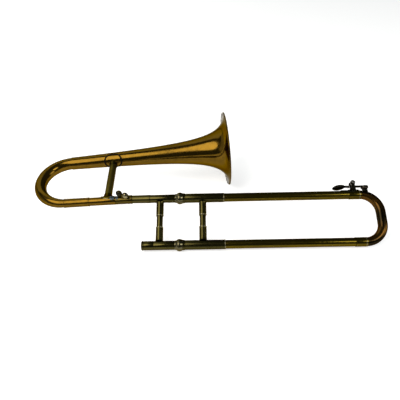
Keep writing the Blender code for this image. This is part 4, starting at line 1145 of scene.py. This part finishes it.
def wing_screw():
    """The locking screw with its hub, two flat wings and their swollen lobes."""
    low = span("lock_wing_screw", SCREW)[0]
    hub = BOSS_TOP + SEAT
    hub_end = hub + HUB_LENGTH
    inner = HUB_RADIUS - HUB_RIM_RISE
    outline = [(low, 0.0), (low, SCREW_RADIUS * SCREW_TIP_SHARE), (low + SCREW_TIP, SCREW_RADIUS)]
    outline += [(hub, SCREW_RADIUS), (hub, HUB_RADIUS), (hub + HUB_RIM, HUB_RADIUS)]
    outline += [(hub + HUB_RIM_END, inner)]
    outline += arc((hub_end - HUB_DOME, inner - HUB_DOME), HUB_DOME, 90, 0, 8) + [(hub_end, 0.0)]
    screw = moved(turned("lock_wing_screw_fine", outline, SMALL), SCREW)
    base = hub + HUB_RADIUS / 3
    lobe = arc((WING_REACH, base + WING_RISE), WING_LOBE, -70, 140, 30)
    outline = [(-HUB_RADIUS, base), (HUB_RADIUS, base)] + lobe + [(0.0, hub_end)]
    outline += [(-x, y) for x, y in reversed(lobe)]
    wings = softened(plate("wings", outline, WING_THICKNESS), WING_EDGE, 4, 60.0)
    upright = place(SCREW.translation, NECK_X, SCREW_Z.cross(NECK_X))
    upright = upright @ spin(WING_TURN, "Z") @ spin(QUARTER, "X")
    combined(screw, moved(wings, upright), "UNION")
    piece(welded(screw, split=True), STAY, DARK_BRASS, "lock_wing_screw")
    angles = [pi * (share - 0.5) for share in shares(CURVE)[1:-1]]
    swell = [(WING_SWELL * sin(a), WING_LOBE * cos(a)) for a in angles]
    swell = [(-WING_SWELL, 0.0)] + swell + [(WING_SWELL, 0.0)]
    # Painted light: the left lobe is a near-black shaded copy of the wings, the right a paler lit copy
    for side, way, material in (("left", -1, NEAR_BLACK), ("right", 1, SHEEN_BRASS)):
        lobe_at = shift(way * WING_REACH, base + WING_RISE) @ spin(QUARTER, "Y")
        made = turned(f"lock_wing_{side}_lobe", swell, SMALL)
        trim(made, upright @ lobe_at, "lock_screw", material)


# Water key


def key_saddle():
    """The saddle: an oval base over tube and ferrule, with two eyed ears."""
    ferrule_start = span("upper_bow_ferrule", UPPER)[0]
    pad_x = KEY_ON_LEG.x + KEY_PAD_SHIFT

    def base(along):
        share = min(max(1 + (pad_x + along - ferrule_start) / KEY_PAD_STEP, 0.0), 1.0)
        return TUBE_RADIUS + (FERRULE_RADIUS - TUBE_RADIUS) * smooth(share)

    pad = oval_pad("water_key_saddle_fine", base, *KEY_PAD, KEY_PAD_RINGS)
    saddle = welded(moved(pad, UPPER @ shift(pad_x)), split=True)
    seat = FERRULE_RADIUS + SEAT + PAD_THICKNESS / 2
    outer_side = EAR_INSIDE + EAR_THICKNESS
    foot = sqrt(seat**2 - outer_side**2) - SEAT - KEY_ON_LEG.y
    outline = [(-EAR_HALF_WIDTH, foot), (EAR_HALF_WIDTH, foot)]
    outline += arc((0.0, 0.0), EYE_RADIUS, -50, 230, 36)
    under = solid(-2 * EAR_HALF_WIDTH, 2 * EAR_HALF_WIDTH, seat)
    for way in (-1, 1):
        ear = softened(plate("ear", outline, EAR_THICKNESS), EAR_EDGE, 3, 60.0)
        moved(ear, KEY @ shift(z=way * (EAR_INSIDE + EAR_THICKNESS / 2)))
        cut = moved(turned("ear_cut", under, FINE), UPPER @ shift(KEY_ON_LEG.x))
        combined(ear, cut, "DIFFERENCE")
        combined(saddle, ear, "UNION")
    out = EAR_INSIDE + 2 * EAR_THICKNESS
    hole = turned("eye_hole", solid(-out, out, KEY_HOLE_RADIUS), SMALL)
    combined(saddle, moved(hole, PIVOT), "DIFFERENCE")
    piece(welded(saddle, split=True), STAY, NEAR_BLACK, "water_key_saddle", sharp=38.0)


def key_screw():
    """The pivot screw with its slotted head."""
    start, end, _, head = span("water_key_pivot_screw", PIVOT)
    shank = KEY_HOLE_RADIUS - SEAT
    shoulder = EAR_INSIDE + EAR_THICKNESS + SEAT
    rim = shoulder + KEY_SCREW_RIM
    outline = [(start, 0.0), (start, shank - KEY_SCREW_TIP_CUT), (start + KEY_SCREW_TIP, shank)]
    outline += [(shoulder, shank), (shoulder, head), (rim, head)]
    outline += arc((rim, head - KEY_SCREW_DOME), KEY_SCREW_DOME, 90, 0, 8)[1:] + [(end, 0.0)]
    screw = turned("water_key_screw_fine", eased(outline, KEY_SCREW_EASE), SMALL)
    x, y, depth = KEY_SLOT
    blade = plate("slot", [(-x, -y), (x, -y), (x, y), (-x, y)], 2 * depth)
    combined(screw, moved(blade, shift(end) @ spin(QUARTER, "Y")), "DIFFERENCE")
    piece(welded(screw, split=True), PIVOT, STEEL, "water_key_pivot_screw")


def key_spring():
    """The torsion spring: a leg under the lever's bar, a coil and a leg on the saddle."""
    low = BAR_NEAR_SIDE + SEAT + SPRING_WIRE
    high = EAR_INSIDE - SEAT - SPRING_WIRE
    under = -BAR_DROP - BAR_THICKNESS - SPRING_CLEAR - SPRING_WIRE
    path = [Vector((-SPRING_LEG, under, -BAR_WIDTH / 2))]
    path.append(Vector((SPRING_HOOK - SPRING_LEG, under, low - SPRING_HOOK_SIDE)))
    for share in shares(2 * CURVE * SPRING_TURNS):
        a = pi + 2 * pi * SPRING_TURNS * share
        x, y = SPRING_RADIUS * cos(a), SPRING_RADIUS * sin(a)
        path.append(Vector((x, y, low + (high - low) * share)))
    foot = FERRULE_RADIUS + PAD_THICKNESS + 2 * SEAT + SPRING_WIRE - KEY_ON_LEG.y
    path.append(Vector((-SPRING_RADIUS, foot, high)))
    piece(wire("water_key_spring_fine", path, SPRING_WIRE), KEY, STEEL, "water_key_spring")


def key_cork():
    start, end, _, radius = span("water_key_cork", CUP)
    lathe("water_key_cork", solid(start, end, radius), CUP, OLD_CORK, SMALL, CUP_EASE)


def finger_spoon():
    """A lens-shaped finger plate with a shallow hollow on top."""
    half = [size / 2 for size in FINGER]
    rings, sides = FINE // 4, FINE // 2
    verts = []
    faces = []
    for i in range(rings + 1):
        lift = pi * i / rings
        out = sin(lift)
        y = cos(lift)
        if y > 0:
            y = y * FINGER_CROWN - FINGER_HOLLOW * (1 - out**2) ** 2
        for a in turns(sides):
            verts.append((half[0] * out * cos(a), half[1] * y, half[2] * out * sin(a)))
    for i in range(rings):
        faces += strip(i * sides, (i + 1) * sides, sides)
    return outward(welded(fresh("finger_spoon", verts, faces)))


def key_lever():
    """The lever: a bar with its hub, a finger plate and a pad cup."""
    bar_top = -BAR_DROP
    bar_low = bar_top - BAR_THICKNESS
    finger_end = -FINGER_REACH + FINGER[0] / 4
    cup_end = CUP_X + BAR_WIDTH / 3
    outline = [(finger_end, bar_low), (cup_end, bar_low), (cup_end, bar_top)]
    outline += [(KEY_HUB_SPREAD, bar_top)] + arc((0.0, 0.0), KEY_HUB_RADIUS, -10, 190, 28)
    outline += [(-KEY_HUB_SPREAD, bar_top), (finger_end, bar_top)]
    bar = plate("water_key_lever_fine", outline, BAR_WIDTH)
    lever = softened(bar, BAR_EDGE, 3, 50.0)
    moved(lever, shift(z=BAR_NEAR_SIDE - BAR_WIDTH / 2))
    finger_at = shift(-FINGER_REACH, (bar_low + bar_top) / 2 - FINGER_DROP)
    lean = spin(FINGER_LEAN, "Z") @ spin(FINGER_ROLL, "X")
    combined(lever, moved(finger_spoon(), finger_at @ lean), "UNION")
    cup_top = bar_top - BAR_THICKNESS / 2
    cup_low = cup_top - CUP_HEIGHT
    inner = CUP_RADIUS - CUP_WALL
    roof = cup_top - CUP_WALL
    outline = [(cup_low, CUP_RADIUS), (roof, CUP_RADIUS), (cup_top, CUP_TOP_RADIUS)]
    outline += [(cup_top, 0.0), (roof, 0.0), (roof, inner), (cup_low, inner)]
    cup = turned("pad_cup", eased(outline, CUP_EASE))
    combined(lever, moved(cup, shift(CUP_X) @ spin(QUARTER, "Z")), "UNION")
    wide = 3 * BAR_WIDTH
    hole = turned("hub_hole", solid(-wide, wide, KEY_HOLE_RADIUS), SMALL)
    combined(lever, moved(hole, spin(-QUARTER, "Y")), "DIFFERENCE")
    piece(welded(lever, split=True), KEY, NEAR_BLACK, "water_key_lever", sharp=38.0)


def key_nipple():
    """The drilled nipple under the cork, cut to the bow that it stands on."""
    top = span("water_key_cork", CUP)[0] - SEAT + KEY_ON_LEG.y
    outline = [(NIPPLE_ROOT, NIPPLE_FOOT + NIPPLE_STEP)]
    outline += [(NIPPLE_FOOT_TOP, NIPPLE_FOOT), (top - NIPPLE_STEP, NIPPLE_RADIUS)]
    outline += [(top, NIPPLE_RADIUS - NIPPLE_STEP), (top, NIPPLE_BORE)]
    outline += [(NIPPLE_ROOT, NIPPLE_BORE)]
    at = place(UPPER @ Vector((KEY_ON_LEG.x + CUP_X, 0.0, 0.0)), SLIDE_Y, SLIDE_X)
    nipple = moved(turned("water_key_nipple_fine", eased(outline, NIPPLE_EASE)), at)
    path, radii = end_bow_path()
    reach = max(radii[:NIPPLE_BEND]) + SEAT / 2
    bow = wire("nipple_cut", [Vector((x, y, 0.0)) for x, y in path], reach, MEDIUM)
    combined(nipple, moved(bow, UPPER), "DIFFERENCE")
    piece(nipple, STAY, NEAR_BLACK, "water_key_nipple")


# Stage


def floor():
    """A white floor that also glows where it is seen, directly or in the brass."""
    a = FLOOR_HALF
    obj = fresh("floor", [(-a, -a, 0), (a, -a, 0), (a, a, 0), (-a, a, 0)], [(0, 1, 2, 3)])
    obj.location.z = -FLOOR_DROP
    g = Graph("pale_floor")
    rays = g.add("ShaderNodeLightPath").outputs
    seen = g.maths("MAXIMUM", rays["Is Camera Ray"], rays["Is Glossy Ray"])
    seen = g.maths("MAXIMUM", seen, rays["Is Transmission Ray"])
    g.set(Base_Color=FLOOR_COLOUR, Roughness=1.0, Specular_IOR_Level=0.0)
    g.set(Emission_Color=(*WHITE, 1.0), Emission_Strength=g.times(seen, FLOOR_GLOW))
    obj.data.materials.append(g.material)


def lamp(name, at, aim, size, radiance, colour=WHITE, up=UPRIGHT, shape="RECTANGLE"):
    """A soft box. Its radiance is the brightness that a mirror would show."""
    light = bpy.data.lights.new(name, "AREA")
    light.shape = shape
    light.size, light.size_y = size
    area = size[0] * size[1] * (pi / 4 if shape == "ELLIPSE" else 1.0)
    light.energy = radiance * pi * area
    light.color = colour
    obj = bpy.data.objects.new(name, light)
    bpy.context.scene.collection.objects.link(obj)
    back = (Vector(at) - Vector(aim)).normalized()
    side = Vector(up).cross(back)
    obj.matrix_world = place(at, side, back.cross(side))


def lights():
    for row in LAMPS:
        lamp(*row)
    world = bpy.data.worlds.new("room")
    world.use_nodes = True
    world.node_tree.nodes["Background"].inputs[0].default_value = ROOM_COLOUR
    bpy.context.scene.world = world
    bpy.context.scene.view_settings.view_transform = "Standard"


def camera():
    matrix = spin(-CAMERA_TURN, "Z") @ spin(QUARTER - CAMERA_RISE, "X") @ spin(CAMERA_ROLL, "Z")
    back = matrix.col[2].xyz
    matrix.translation = UPPER.translation + CAMERA_AIM + back * CAMERA_DISTANCE
    data = bpy.data.cameras.new("camera")
    data.sensor_width = SENSOR
    data.lens = CAMERA_FOCAL_PIXELS * SENSOR / PHOTO_WIDTH
    obj = bpy.data.objects.new("camera", data)
    obj.matrix_world = matrix
    bpy.context.scene.collection.objects.link(obj)
    bpy.context.scene.camera = obj


camera()
floor()
lights()
pipes()
inner_tubes()
grips()
receiver()
barrels()
slide_brace("inner_brace", "grip_sleeve")
slide_brace("outer_brace", "hand_sleeve")
end_bow()
bell_flare()
neck()
bell_bow()
bell_brace()
bell_socket()
wing_screw()
key_saddle()
key_screw()
key_spring()
key_cork()
key_lever()
key_nipple()
